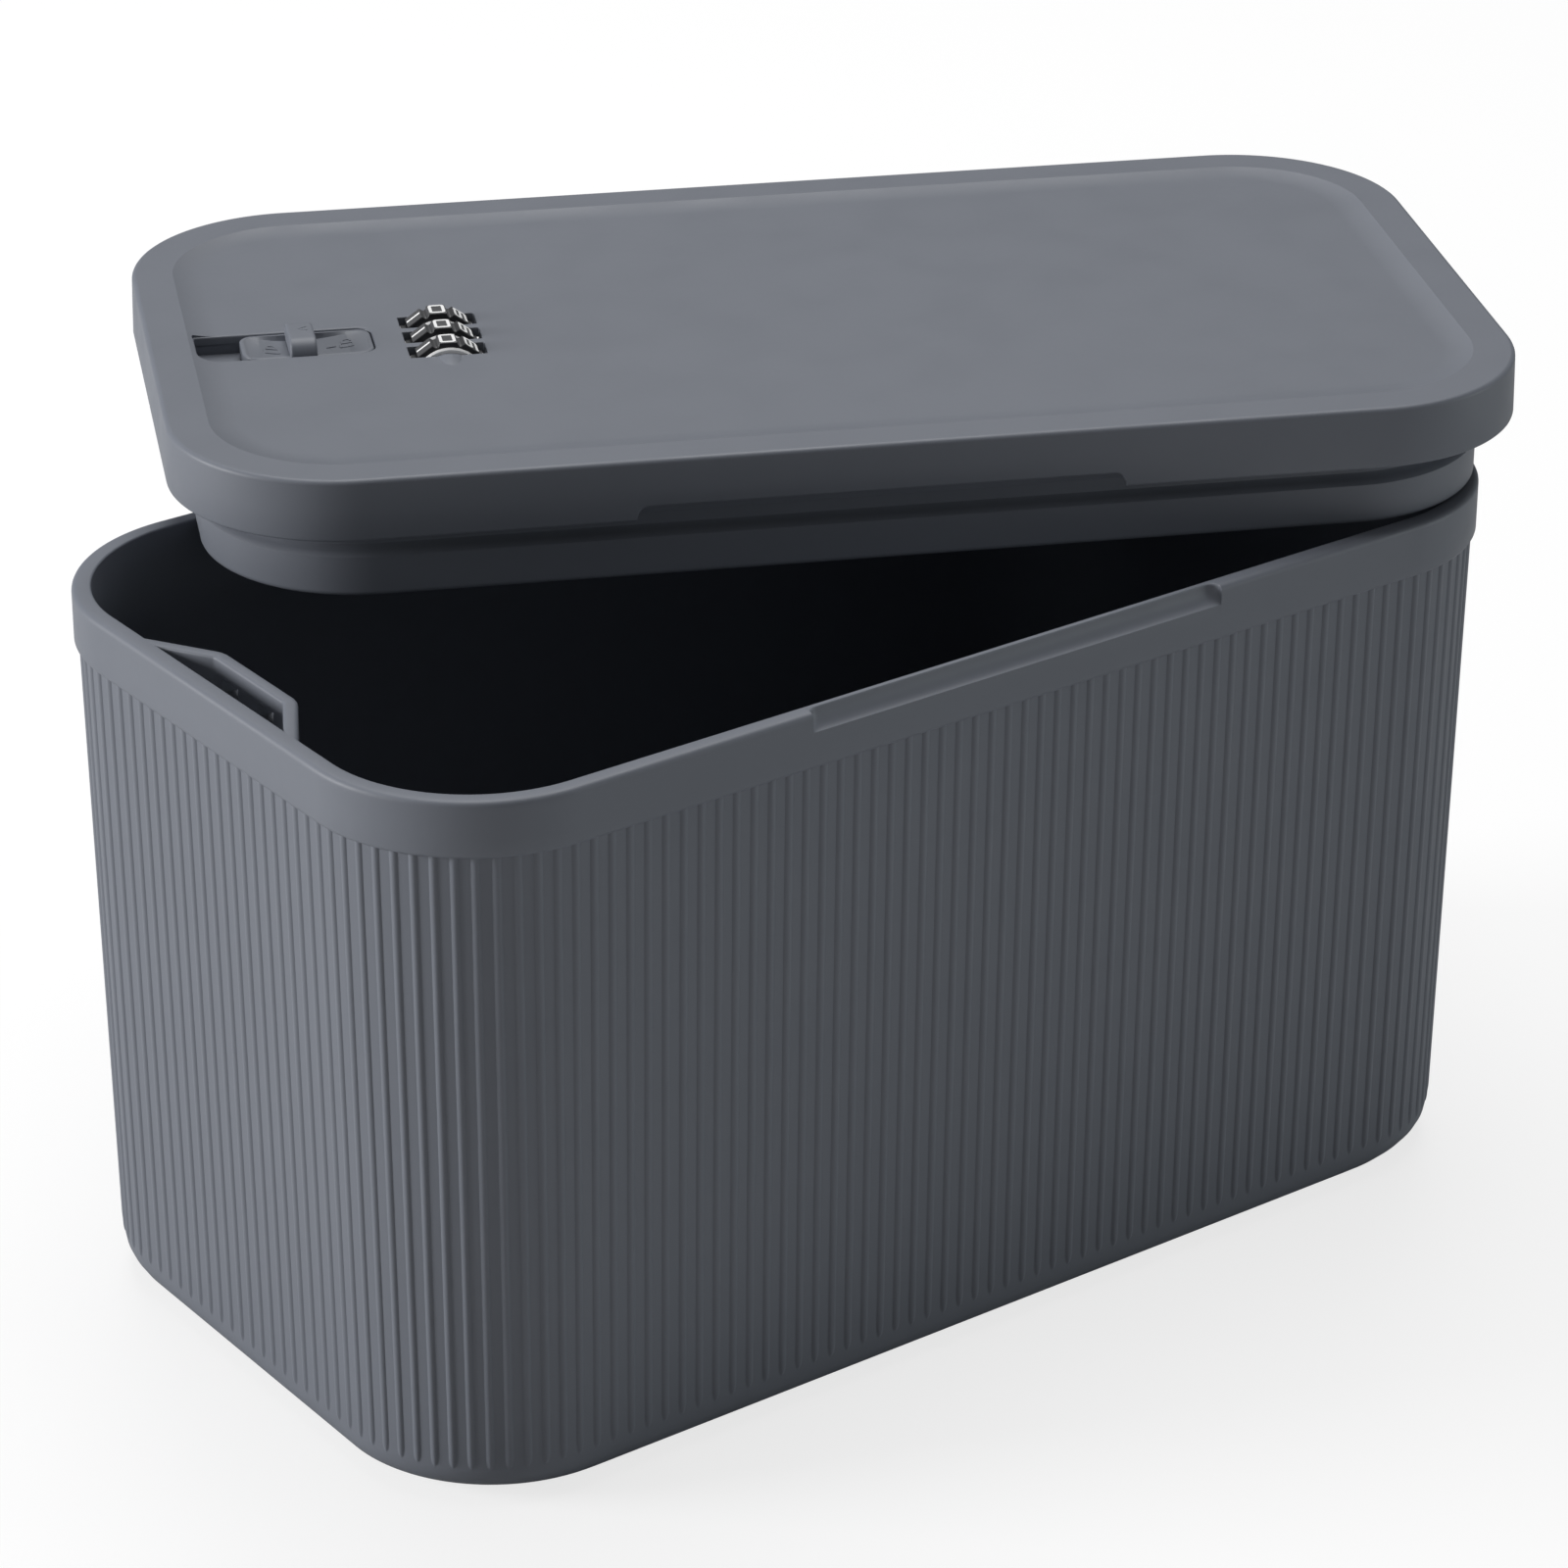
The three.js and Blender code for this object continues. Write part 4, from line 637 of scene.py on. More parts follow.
def bin_levels():
    """Section of the bin as (inset, z, inset in the gap, z in the gap, has beads, corner widening)."""
    levels = []
    for z, around in round_edge(8, BOTTOM_RADIUS):
        inset = wall_inset(z) + around
        levels.append((inset, z, inset, z, False, around * FOOT_CORNER_SOFTENING))
    for i in range(7):
        z = BEAD_START + 0.02 + BEAD_TIP * (i / 6) ** 1.6
        levels.append((wall_inset(z), z, wall_inset(z), z, True, 0))
    for share in (0.25, 0.5, 0.75, 1):
        z = BEAD_START + BEAD_TIP + (LEDGE_Z - BEAD_START - BEAD_TIP) * share
        levels.append((wall_inset(z), z, wall_inset(z), z, True, 0))
    levels += [(inset, LEDGE_Z + rise, inset, LEDGE_Z + rise, False, 0) for inset, rise in BAND_LIP]
    sill = BIN_HEIGHT - GAP_DROP
    plain = [(0, sill + rise) for rise in BESIDE_SCOOP]
    plain += [(inset, BIN_HEIGHT - drop) for inset, drop in round_edge(5, RIM_EDGE)]
    scooped = [(inset, sill + rise) for inset, rise in SCOOP_FOOT]
    scooped += [(inset, BIN_HEIGHT - drop) for inset, drop in SCOOP_TOP]
    levels += [(*a, *b, False, 0) for a, b in zip(plain, scooped)]
    inner = [(RIM_WIDTH - back, BIN_HEIGHT - drop) for drop, back in round_edge(4, RIM_INNER_EDGE)]
    step = LEDGE_Z - RIM_STEP
    inner += [(RIM_WIDTH, LEDGE_Z), (wall_inset(step) + WALL, step)]
    levels += [(inset, z, inset, z, False, 0) for inset, z in inner]
    for around, rise in round_edge(6, BOTTOM_RADIUS - WALL):
        z = FLOOR + rise
        inset = wall_inset(z) + WALL + around
        levels.append((inset, z, inset, z, False, around * FOOT_CORNER_SOFTENING))
    return levels


def bin_shape():
    whole = plan_length()
    count = 2 * round(whole / BEAD_PITCH / 2)
    pitch = whole / count
    ends = [place % whole for place in gap_places(GAP_LENGTH)]
    places = list(ends)
    for i in range(count):
        for share in BEAD_POINTS:
            place = (i + 0.5 + share) * pitch
            if min(abs(place - end) for end in ends[:ENDS_KEPT_CLEAR]) > BEAD_POINT_GAP:
                places.append(place)
    stations = []
    for place in sorted(places):
        point, normal = plan_frame(place)
        stations.append((point, normal, place / pitch % 1 - 0.5, gap_share(point, normal, GAP_LENGTH)))
    rings = []
    for inset, z, gap_inset, gap_z, beaded, widening in bin_levels():
        ring = []
        for point, normal, share, gap in stations:
            out = -depth_at(point, normal, inset, widening) * (1 - gap) - gap_inset * gap
            if beaded:
                out += bead_profile(share, z)
            place = point + normal * out
            ring.append(Vector((place.x, place.y, z * (1 - gap) + gap_z * gap)))
        rings.append(ring)
    return loft(rings)


def catch_ring(side, margin, base_x, z, shrink=0, corner=0.3):
    """Trapezoid that follows the catch, grown by a margin, with rounded corners at its nose."""
    spread = (CATCH_BASE - CATCH_NOSE) / 2 / CATCH_REACH
    nose_x = CATCH_NOSE_X - margin + shrink
    nose_half = CATCH_NOSE / 2 + margin * (math.hypot(1, spread) - spread)
    base_half = nose_half + (base_x - nose_x) * spread
    flank = Vector((1, spread)).normalized()
    points = [(base_x, base_half)]
    for step in range(7):
        t = step / 6
        near = Vector((nose_x, nose_half)) + flank * corner
        far = Vector((nose_x, nose_half - corner))
        place = near * (1 - t) ** 2 + Vector((nose_x, nose_half)) * 2 * t * (1 - t) + far * t ** 2
        points.append((place.x, place.y))
    points += [(x, -y) for x, y in reversed(points)]
    return [Vector((side * x, side * y, z)) for x, y in points]


def bin_catch(side):
    """Pocket that grows out of the rim, flush with its top; the wall of the bin is its back."""
    base_x = BOX_LENGTH / 2 - RIM_WIDTH + 1
    top = BIN_HEIGHT - CATCH_SUNK
    foot = CATCH_REACH + RIM_WIDTH / 3
    bottom = BIN_HEIGHT - CATCH_POCKET
    under = bottom - CATCH_WALL
    levels = [(0, BIN_HEIGHT - CATCH_HEIGHT, foot), (0, under - 1.5, 0.6), (0, under, 0)]
    levels += [(-out, top - drop, 0) for out, drop in round_edge(4, CATCH_EDGE)]
    block = mesh_object("block", loft([
        catch_ring(side, margin, base_x, z, shrink, CATCH_CORNER) for margin, z, shrink in levels]), SLATE)
    levels = [(0, bottom, 1.3), (0, bottom + 0.5, 1)]
    levels += [(out, top - drop, 0) for out, drop in round_edge(4, POCKET_EDGE)]
    levels.append((POCKET_EDGE, top + 1, 0))
    pocket = mesh_object("pocket", loft([
        catch_ring(side, margin - CATCH_WALL, base_x + 0.5, z, shrink, POCKET_EDGE)
        for margin, z, shrink in levels]), SLATE)
    for piece in (block, pocket):
        make_outward(piece)
    windows = prong_windows(side, WINDOW_MARGIN, CATCH_NOSE_X - 1, CATCH_NOSE_X + CATCH_WALL + 1, BIN_HEIGHT)
    cut_away(block, [pocket, *cutters(windows)], sharp=SHARP_MOULDING)
    block.name = "bin_catch_" + ("right" if side > 0 else "left")
    return block


def prong_windows(side, margin, x_inner, x_outer, base_z):
    """Two bars where the prongs or tongues run, grown by a margin."""
    x0, x1 = sorted((side * x_inner, side * x_outer))
    half = PRONG_WIDTH / 2 + margin
    low = base_z + PRONG_Z[0] - margin
    high = base_z + PRONG_Z[1] + margin
    middles = (-PRONG_SPACING / 2, PRONG_SPACING / 2)
    return [box_shape(x0, x1, y - half, y + half, low, high) for y in middles]


bin_shell = mesh_object("bin_shell", bin_shape(), SLATE, sharp=SHARP_MOULDING)
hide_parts("bin")
for piece in (bin_shell, bin_catch(-1), bin_catch(1)):
    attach(piece, "bin")


# Lid
def lid_levels():
    """Section of the lid as (inset, z, z in the skirt's notch, corner widening), inside first."""
    inner = PLUG_INSET + PLUG_WALL
    inner_neck = inner + NECK_SET_BACK / 2
    plug = [(inner + PLUG_FILLET, PANEL_UNDER), (inner, PANEL_UNDER - PLUG_FILLET)]
    plug += [(inner, NECK_INNER_SLOPE - COLLAR_DEPTH), (inner_neck, -COLLAR_DEPTH), (inner_neck, -NECK_END)]
    plug += [(inner, -SHOULDER_END), (inner, PLUG_INNER_EDGE - PLUG_DEPTH)]
    plug += [(inner - out / 2, rise - PLUG_DEPTH) for out, rise in round_edge(3, PLUG_INNER_EDGE)]
    plug += [(PLUG_INSET + back, rise - PLUG_DEPTH) for rise, back in round_edge(5, PLUG_OUTER_EDGE)]
    for i in range(5):
        inset = PLUG_INSET + NECK_SET_BACK * smooth_step(i / 4)
        plug.append((inset, (SHOULDER_END - NECK_END) * i / 4 - SHOULDER_END))
    plug.append((PLUG_INSET + NECK_SET_BACK, -NECK_TOP))
    levels = [(inset, z, z, PLUG_CORNER_SOFTENING) for inset, z in plug]
    collar = PLUG_INSET - COLLAR_PROUD
    under = -COLLAR_DEPTH - COLLAR_EDGE
    levels.append((collar + COLLAR_EDGE, under, under, PLUG_CORNER_SOFTENING / 2))
    outer = [(collar + COLLAR_EDGE / 4, -COLLAR_DEPTH - COLLAR_EDGE * 5 / 8), (collar, -COLLAR_DEPTH)]
    outer += [(collar, PANEL_UNDER - LID_FILLET), (collar - LID_FILLET, PANEL_UNDER)]
    skirt = SKIRT_WALL + SKIRT_LEAN
    outer += [(skirt + LID_FILLET, PANEL_UNDER), (skirt, PANEL_UNDER - LID_FILLET)]
    levels += [(inset, z, z, 0) for inset, z in outer]
    edge = [(SKIRT_WALL - out, z) for out, z in round_edge(3, SKIRT_EDGE)]
    edge += [(inset, z) for z, inset in round_edge(3, SKIRT_EDGE)]
    levels += [(inset, z, z + NOTCH_HEIGHT, 0) for inset, z in edge]
    top = [(SKIRT_LEAN / 2, LID_HEIGHT / 2)]
    top += [(SKIRT_LEAN + inset, LID_HEIGHT - drop) for inset, drop in round_edge(6, LID_EDGE)]
    for i in range(BORDER_POINTS + 1):
        share = i / BORDER_POINTS
        top.append((BORDER + BORDER_STEP * share, LID_HEIGHT - PANEL_DROP * (1 - (1 - share) ** 2)))
    levels += [(inset, z, z, 0) for inset, z in top]
    return levels


def lid_shape():
    whole = plan_length()
    ends = gap_places(NOTCH_LENGTH)
    places = list(ends)
    for i in range(LID_POINTS):
        place = (i + 0.5) * whole / LID_POINTS
        apart = [abs((place - end + whole / 2) % whole - whole / 2) for end in ends[:ENDS_KEPT_CLEAR]]
        if min(apart) > LID_POINT_GAP:
            places.append(place)
    stations = []
    for place in sorted(place % whole for place in places):
        point, normal = plan_frame(place)
        stations.append((point, normal, gap_share(point, normal, NOTCH_LENGTH)))
    rings = []
    for inset, z, gap_z, widening in lid_levels():
        ring = []
        for point, normal, gap in stations:
            place = point - normal * depth_at(point, normal, inset, widening)
            ring.append(Vector((place.x, place.y, z * (1 - gap) + gap_z * gap)))
        rings.append(ring)
    return loft(rings)


def flared_levels(bottom, top, edge):
    """Levels of a cutter whose mouth rounds off the edge that it leaves."""
    rounded = [(-out, top - drop) for out, drop in round_edge(4, edge)]
    return [(0, bottom), *rounded, (-edge, top + 3)]


def dial_y(index):
    return (index - 1) * DIAL_PITCH


def slot_span(index):
    front = dial_y(index) - DIAL_WIDTH / 2 - SLEEVE_GAP - FLANGE - SLOT_MARGIN
    return front, dial_y(index) + DIAL_WIDTH / 2 + SLOT_MARGIN


def foot_slot():
    """Slot in the recess's floor, in which the slider's foot travels."""
    x0 = SLIDER_X - FOOT_LENGTH / 2 - TRAVEL - FOOT_GAP
    x1 = SLIDER_X + FOOT_LENGTH / 2 + FOOT_GAP
    half = FOOT_WIDTH / 2 + FOOT_GAP
    return box_shape(x0, x1, -half, half, 0, PANEL_TOP)


def lid_cutters():
    levels = flared_levels(PANEL_TOP - RECESS_DEPTH, PANEL_TOP, RECESS_EDGE)
    shapes = [plate_shape(RECESS_LENGTH, RECESS_WIDTH, RECESS_CORNERS, levels, 10, RECESS_CENTRE)]
    shapes.append(foot_slot())
    levels = flared_levels(0, PANEL_TOP, SLOT_EDGE)
    for y0, y1 in map(slot_span, range(3)):
        shapes.append(plate_shape(SLOT_LENGTH, y1 - y0, SLOT_CORNER, levels, 3, (DIAL_X, (y0 + y1) / 2)))
    base_x = BOX_LENGTH / 2 - SKIRT_WALL - SKIRT_LEAN - 0.3
    for side in (-1, 1):
        rings = [catch_ring(side, CATCH_CLEARANCE, base_x, z) for z in (-PLUG_DEPTH - 1, PANEL_UNDER)]
        shapes.append(loft(rings))
    return shapes


def notch_wall(side):
    """Wall that closes the plug ring behind a catch."""
    base_x = BOX_LENGTH / 2 - PLUG_INSET - 0.2
    margin = CATCH_CLEARANCE + PLUG_WALL
    rings = [catch_ring(side, margin, base_x, z) for z in (-PLUG_DEPTH, PANEL_UNDER + BURIED)]
    wall = mesh_object("wall", loft(rings), SLATE)
    bevel(wall, WALL_EDGE)
    ends = (-PLUG_DEPTH - 1, PANEL_UNDER + 2)
    tools = [loft([catch_ring(side, CATCH_CLEARANCE, base_x + 3, z) for z in ends])]
    if side < 0:
        x_inner = PLUG_NOSE_X - PLUG_WALL - 1
        tools += prong_windows(side, WINDOW_MARGIN, x_inner, PLUG_NOSE_X + 1, 0)
        size = (RECESS_LENGTH + 1, RECESS_WIDTH + 1, TUB_CORNER)
        levels = [(0, PANEL_TOP - RECESS_DEPTH - 0.4), (0, CUTTER)]
        tools.append(plate_shape(*size, levels, 8, RECESS_CENTRE))
    cut_away(wall, cutters(tools))
    wall.name = "lid_notch_wall_" + ("right" if side > 0 else "left")
    wall.data.transform(LID_MATRIX)
    return wall


def lid_inner_shapes():
    """Ribs under the panel, and the bosses that hold the chassis."""
    shapes = []
    bottom = PANEL_UNDER - RIB_HEIGHT
    top = PANEL_UNDER + BURIED
    end_x = BOX_LENGTH / 2 - PLUG_INSET - PLUG_WALL / 2 - 0.5
    end_y = BOX_WIDTH / 2 - PLUG_INSET - PLUG_WALL / 2
    start = CHASSIS_X + CHASSIS_LENGTH / 2 + BOSS_RADIUS
    catch_end = PLUG_NOSE_X - PLUG_WALL / 2
    half = RIB / 2
    for share in (-1 / 3, 1 / 3):
        y = share * 2 * end_y
        shapes.append(box_shape(-end_x, end_x, y - half, y + half, bottom, top))
    shapes.append(box_shape(start, catch_end, -half, half, bottom, top))
    for i in range(4):
        x = start + (catch_end - start) * i / 4
        shapes.append(box_shape(x - half, x + half, -end_y, end_y, bottom, top))
    for sign_x in (-1, 1):
        for sign_y in (-1, 1):
            x = CHASSIS_X + sign_x * (CHASSIS_LENGTH / 2 - BOSS_INSET)
            y = sign_y * (CHASSIS_WIDTH / 2 - BOSS_INSET)
            shapes.append(boss_shape(x, y, CHASSIS_TOP + BOSS_GAP, top))
    return shapes


def lid_tub():
    """Walls and floor of the slider's recess, seen from below."""
    size = (RECESS_LENGTH + 2 * RECESS_FLOOR, RECESS_WIDTH + 2 * RECESS_FLOOR, TUB_CORNER)
    floor = PANEL_TOP - RECESS_DEPTH
    levels = [(0, floor - RECESS_FLOOR), (0, PANEL_UNDER + BURIED)]
    tub = mesh_object("lid_tub", plate_shape(*size, levels, 8, RECESS_CENTRE), SLATE)
    bevel(tub, WALL_EDGE)
    size = (RECESS_LENGTH, RECESS_WIDTH, RECESS_CORNERS)
    room = plate_shape(*size, [(0, floor), (0, CUTTER)], 10, RECESS_CENTRE)
    cut_away(tub, cutters([room, foot_slot()]))
    tub.data.transform(LID_MATRIX)
    return tub


def spindle_dome(name, y, direction, length):
    """Blunt half dome over an end of the spindle, from the panel up."""
    profile = [(0.02, y + direction * length)]
    for angle in arc_points(20)[1:]:
        radius = DOME_RADIUS * math.sin(angle) ** DOME_BLUNTNESS
        profile.append((radius, y + direction * length * math.cos(angle)))
    if direction > 0:
        profile.reverse()
    dome = mesh_object(name, turned_along_y(profile, (DIAL_X, DIAL_Z)), SLATE)
    span = (DIAL_X - CUTTER, DIAL_X + CUTTER, y - CUTTER, y + CUTTER)
    below = box_shape(*span, -CUTTER, PANEL_UNDER + 1)
    cut_away(dome, cutters([below]))
    dome.data.transform(LID_MATRIX)
    return dome


lid_shell = mesh_object("lid_shell", lid_shape(), SLATE, sharp=SHARP_MOULDING)
cut_away(lid_shell, cutters(lid_cutters()), sharp=SHARP_MOULDING)
# Level faces are drawn flat, so that the rounded edges round the slots don't shade the panel
for face in lid_shell.data.polygons:
    face.use_smooth = face.normal.z < 0.9999
lid_shell.data.transform(LID_MATRIX)
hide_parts("lid")
lid_inner = mesh_object("lid_ribs", joined(*lid_inner_shapes()), SLATE)
tongue_shapes = prong_windows(1, 0, PLUG_NOSE_X - PLUG_WALL / 2, CATCH_NOSE_X + CATCH_WALL + 2, 0)
tongues = mesh_object("lid_tongues", joined(*tongue_shapes), SLATE)
for piece in (lid_inner, tongues):
    bevel(piece, RIB_EDGE)
    piece.data.transform(LID_MATRIX)
lid_pieces = [
    lid_shell, lid_inner, tongues, lid_tub(), notch_wall(-1), notch_wall(1),
    spindle_dome("lid_dome_front", slot_span(0)[0], -1, DOME_LENGTH),
    spindle_dome("lid_dome_rear", slot_span(2)[1], 1, DOME_LENGTH / 2),
]
for piece in lid_pieces:
    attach(piece, "lid")


# Latch slider
def dish_share(x):
    """How far a place on the plate is from the grip, 0 at the grip and 1 at the plate's end."""
    start = GRIP_WIDTH / 2 - GRIP_EDGE
    reach = SLIDER_LENGTH / 2 - DISH_END - start - (GRIP_X if x > GRIP_X else -GRIP_X)
    return min(max((abs(x - GRIP_X) - start) / reach, 0), 1)


def dish_drop(x):
    return DISH_DEPTH * (1 - smooth_step(dish_share(x))) + DISH_EDGE


def slider_plate():
    """Plate with a raised lip, dished on both sides of the grip."""
    corners = tuple(max(corner, RECESS_CORNER) - SLIDER_GAP for corner in RECESS_CORNERS)
    levels = [(SLIDER_LOWER_EDGE, SLIDER_LOW), (0, SLIDER_LOW + SLIDER_LOWER_EDGE)]
    levels += [(inset, SLIDER_TOP - drop) for inset, drop in round_edge(4, SLIDER_EDGE)]
    shape = plate_shape(SLIDER_LENGTH, SLIDER_WIDTH, corners, levels, 10, (SLIDER_X, 0))
    plate = mesh_object("latch_plate", shape, SLATE)
    shapes = []
    for sign in (-1, 1):
        near = GRIP_X + sign * (GRIP_WIDTH / 2 - GRIP_EDGE)
        far = sign * (SLIDER_LENGTH / 2 - DISH_END)
        rings = []
        for step in range(DISH_POINTS + 1):
            x = near + (far - near) * step / DISH_POINTS
            turn = max(0, 1 - (1 - dish_share(x)) / DISH_CORNER_SHARE)
            half = SLIDER_WIDTH / 2 - DISH_END - DISH_CORNER * (1 - math.sqrt(max(0, 1 - turn ** 2)))
            section = [(half, SLIDER_TOP + 1), (half, SLIDER_TOP - 0.02)]
            section.append((half - DISH_SLOPE, SLIDER_TOP - dish_drop(x)))
            section += [(-y, z) for y, z in reversed(section)]
            rings.append([Vector((SLIDER_X + x, y, z)) for y, z in section])
        shapes.append(loft(rings))
    dishes = cutters(shapes)
    for dish in dishes:
        make_outward(dish)
    cut_away(plate, dishes, sharp=SHARP_DETAIL)
    return plate


def slider_grip():
    """Bridge across the plate, with rounded ends."""
    half = SLIDER_WIDTH / 2
    top = PANEL_TOP + GRIP_HEIGHT
    section = [(-half, SLIDER_TOP - 1)]
    section += [(y - half, top - drop) for y, drop in round_edge(10, GRIP_CORNER)]
    section += [(-y, z) for y, z in reversed(section)]
    rings = []
    for step in range(9):
        x = GRIP_X - GRIP_WIDTH / 2 + GRIP_WIDTH * step / 8
        rings.append([Vector((SLIDER_X + x, y, z)) for y, z in section])
    grip = mesh_object("latch_grip", loft(rings), SLATE)
    make_outward(grip)
    return bevel(grip, GRIP_BEVEL, 3)


def ring_strokes(points, closed, width, depth, radius=0.18):
    """A flat stroke of even width along rounded corners, as a shape that stands on z = 0."""
    rounded = []
    count = len(points)
    for i, point in enumerate(points):
        here = Vector(point)
        if not closed and i in (0, count - 1):
            rounded.append(here)
            continue
        before = Vector(points[i - 1]) - here
        after = Vector(points[(i + 1) % count]) - here
        reach = min(radius, before.length / 2, after.length / 2)
        start = here + before.normalized() * reach
        end = here + after.normalized() * reach
        for step in range(5):
            t = step / 4
            rounded.append(start * (1 - t) ** 2 + here * 2 * t * (1 - t) + end * t ** 2)
    left = []
    right = []
    total = len(rounded)
    for i, point in enumerate(rounded):
        before = rounded[i - 1] if closed or i > 0 else point
        after = rounded[(i + 1) % total] if closed or i + 1 < total else point
        along = (after - before).normalized()
        across = Vector((-along.y, along.x)) * width / 2
        left.append(point + across)
        right.append(point - across)
    if not closed:
        first = (rounded[0] - rounded[1]).normalized() * width / 2
        last = (rounded[-1] - rounded[-2]).normalized() * width / 2
        left[0] += first
        right[0] += first
        left[-1] += last
        right[-1] += last
    rings = []
    for a, b in zip(left, right):
        corners = ((a, 0), (a, depth), (b, depth), (b, 0))
        rings.append([Vector((place.x, place.y, z)) for place, z in corners])
    if closed:
        rings.append(rings[0])
    return loft(rings, not closed, not closed)


def on_slider(x, y, size, shape, level=None):
    """Sets a mark on the plate, where it follows the dish, or level on the grip."""
    vertices, faces = shape
    spots = []
    for point in vertices:
        along = x + size * point.x
        base = SLIDER_TOP - dish_drop(along) - MARK_ROOT if level is None else level
        spots.append(Vector((SLIDER_X + along, y + size * point.y, base + point.z)))
    return spots, faces


def slider_icons():
    """Low marks on the plate: a closed and an open padlock, a dash between, and a chevron on the grip."""
    body = [(-0.5, -0.45), (0.5, -0.45), (0.5, 0.3), (-0.5, 0.3)]
    closed_bow = [(-0.32, 0.3), (-0.32, 0.85), (0.32, 0.85), (0.32, 0.3)]
    open_bow = [(-0.32, 0.3), (-0.32, 1.0), (0.32, 1.0), (0.32, 0.7)]
    chevron = [(0.35, 0.4), (-0.3, 0), (0.35, -0.4)]
    marks = []
    for x, y, size, bow in ((-8.2, -0.8, 3.4, closed_bow), (9.2, -0.6, 3, open_bow)):
        marks.append(on_slider(x, y, size, ring_strokes(body, True, MARK_STROKE, MARK_DEPTH)))
        marks.append(on_slider(x, y, size, ring_strokes(bow, False, MARK_STROKE, MARK_DEPTH, 0.3)))
    dash = [(-0.4, 0), (0.4, 0)]
    marks.append(on_slider(5.6, -0.6, 2, ring_strokes(dash, False, 0.3, 0.28)))
    level = PANEL_TOP + GRIP_HEIGHT - 0.02
    marks.append(on_slider(GRIP_X + 0.3, 1.4, 2.6, ring_strokes(chevron, False, 0.2, 0.12), level))
    return mesh_object("latch_icons", joined(*marks), SLATE)


foot_x = (SLIDER_X - FOOT_LENGTH / 2, SLIDER_X + FOOT_LENGTH / 2)
foot_shape = box_shape(*foot_x, -FOOT_WIDTH / 2, FOOT_WIDTH / 2, FOOT_LOW, SLIDER_LOW + 0.4)
foot = mesh_object("latch_foot", foot_shape, SLATE)
bevel(foot, RIB_EDGE)
latch_pieces = [slider_plate(), slider_grip(), slider_icons(), foot]
for piece in latch_pieces:
    piece.data.transform(LID_MATRIX)
    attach(piece, "latch")
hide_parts("latch_slider")


# Dials
def dial_ring(scale, y):
    """Flat faces for the digits, with a groove after each."""
    face = DIAL_RADIUS * math.cos(math.radians(FACET))
    section = [(turn, face / math.cos(math.radians(turn))) for turn in (-FACET, -6, 0, 6, FACET)]
    section += [(DIGIT_STEP / 2 + turn, DIAL_RADIUS - DIAL_GROOVE * share) for turn, share in GROOVE]
    ring = []
    for digit in range(len(DIGITS)):
        for turn, radius in section:
            angle = math.radians(DIGIT_STEP * digit + turn)
            ring.append(Vector((scale * radius * math.sin(angle), y, scale * radius * math.cos(angle))))
    return ring


def dial_shape():
    levels = []
    for angle in arc_points(4):
        scale = 1 - DIAL_EDGE_SHARE * (1 - math.sin(angle))
        levels.append((scale, DIAL_EDGE * (1 - math.cos(angle)) - DIAL_WIDTH / 2))
    levels += [(scale, -y) for scale, y in reversed(levels)]
    return loft([dial_ring(scale, y) for scale, y in levels])


def digit_shapes():
    """All ten digits, each lying on its own face, with its top towards the next digit."""
    shapes = []
    face = DIAL_RADIUS * math.cos(math.radians(FACET))
    for digit, strokes in enumerate(DIGITS):
        turn = -math.radians(DIGIT_STEP * digit)
        out = Vector((math.sin(turn), 0, math.cos(turn)))
        up = Vector((-math.cos(turn), 0, math.sin(turn)))
        right = Vector((0, 1, 0))
        for points, closed in strokes:
            flat = [((x - 0.5) * DIGIT_WIDTH, (y - 0.5) * DIGIT_HEIGHT) for x, y in points]
            depth = DIGIT_ROOT + DIGIT_PROUD
            vertices, faces = ring_strokes(flat, closed, DIGIT_STROKE, depth, DIGIT_CORNER)
            spot = [out * (face - DIGIT_ROOT + p.z) + up * p.y + right * p.x for p in vertices]
            shapes.append((spot, faces))
    return joined(*shapes)


def sleeve_shape(radius):
    """Flanged sleeve whose bore is open: the profile's last ring joins its first in place of caps."""
    front = -DIAL_WIDTH / 2 - SLEEVE_GAP
    end = front + DIAL_PITCH - FLANGE - SLEEVE_GAP
    rim = front - FLANGE
    bore = SPINDLE_RADIUS + BORE_GAP
    profile = [
        (bore, end), (bore, rim), (radius - FLANGE_SLOPE, rim), (radius, rim + FLANGE_SLOPE),
        (radius, front - SLEEVE_EDGE), (radius - SLEEVE_EDGE, front), (SLEEVE_RADIUS, front),
        (SLEEVE_RADIUS, end),
    ]
    vertices, faces = turned_along_y(profile, (0, 0), SLEEVE_SIDES)
    faces = faces[:-2]
    last = (len(profile) - 1) * SLEEVE_SIDES
    for i in range(SLEEVE_SIDES):
        j = (i + 1) % SLEEVE_SIDES
        faces.append((last + i, last + j, j, i))
    return vertices, faces


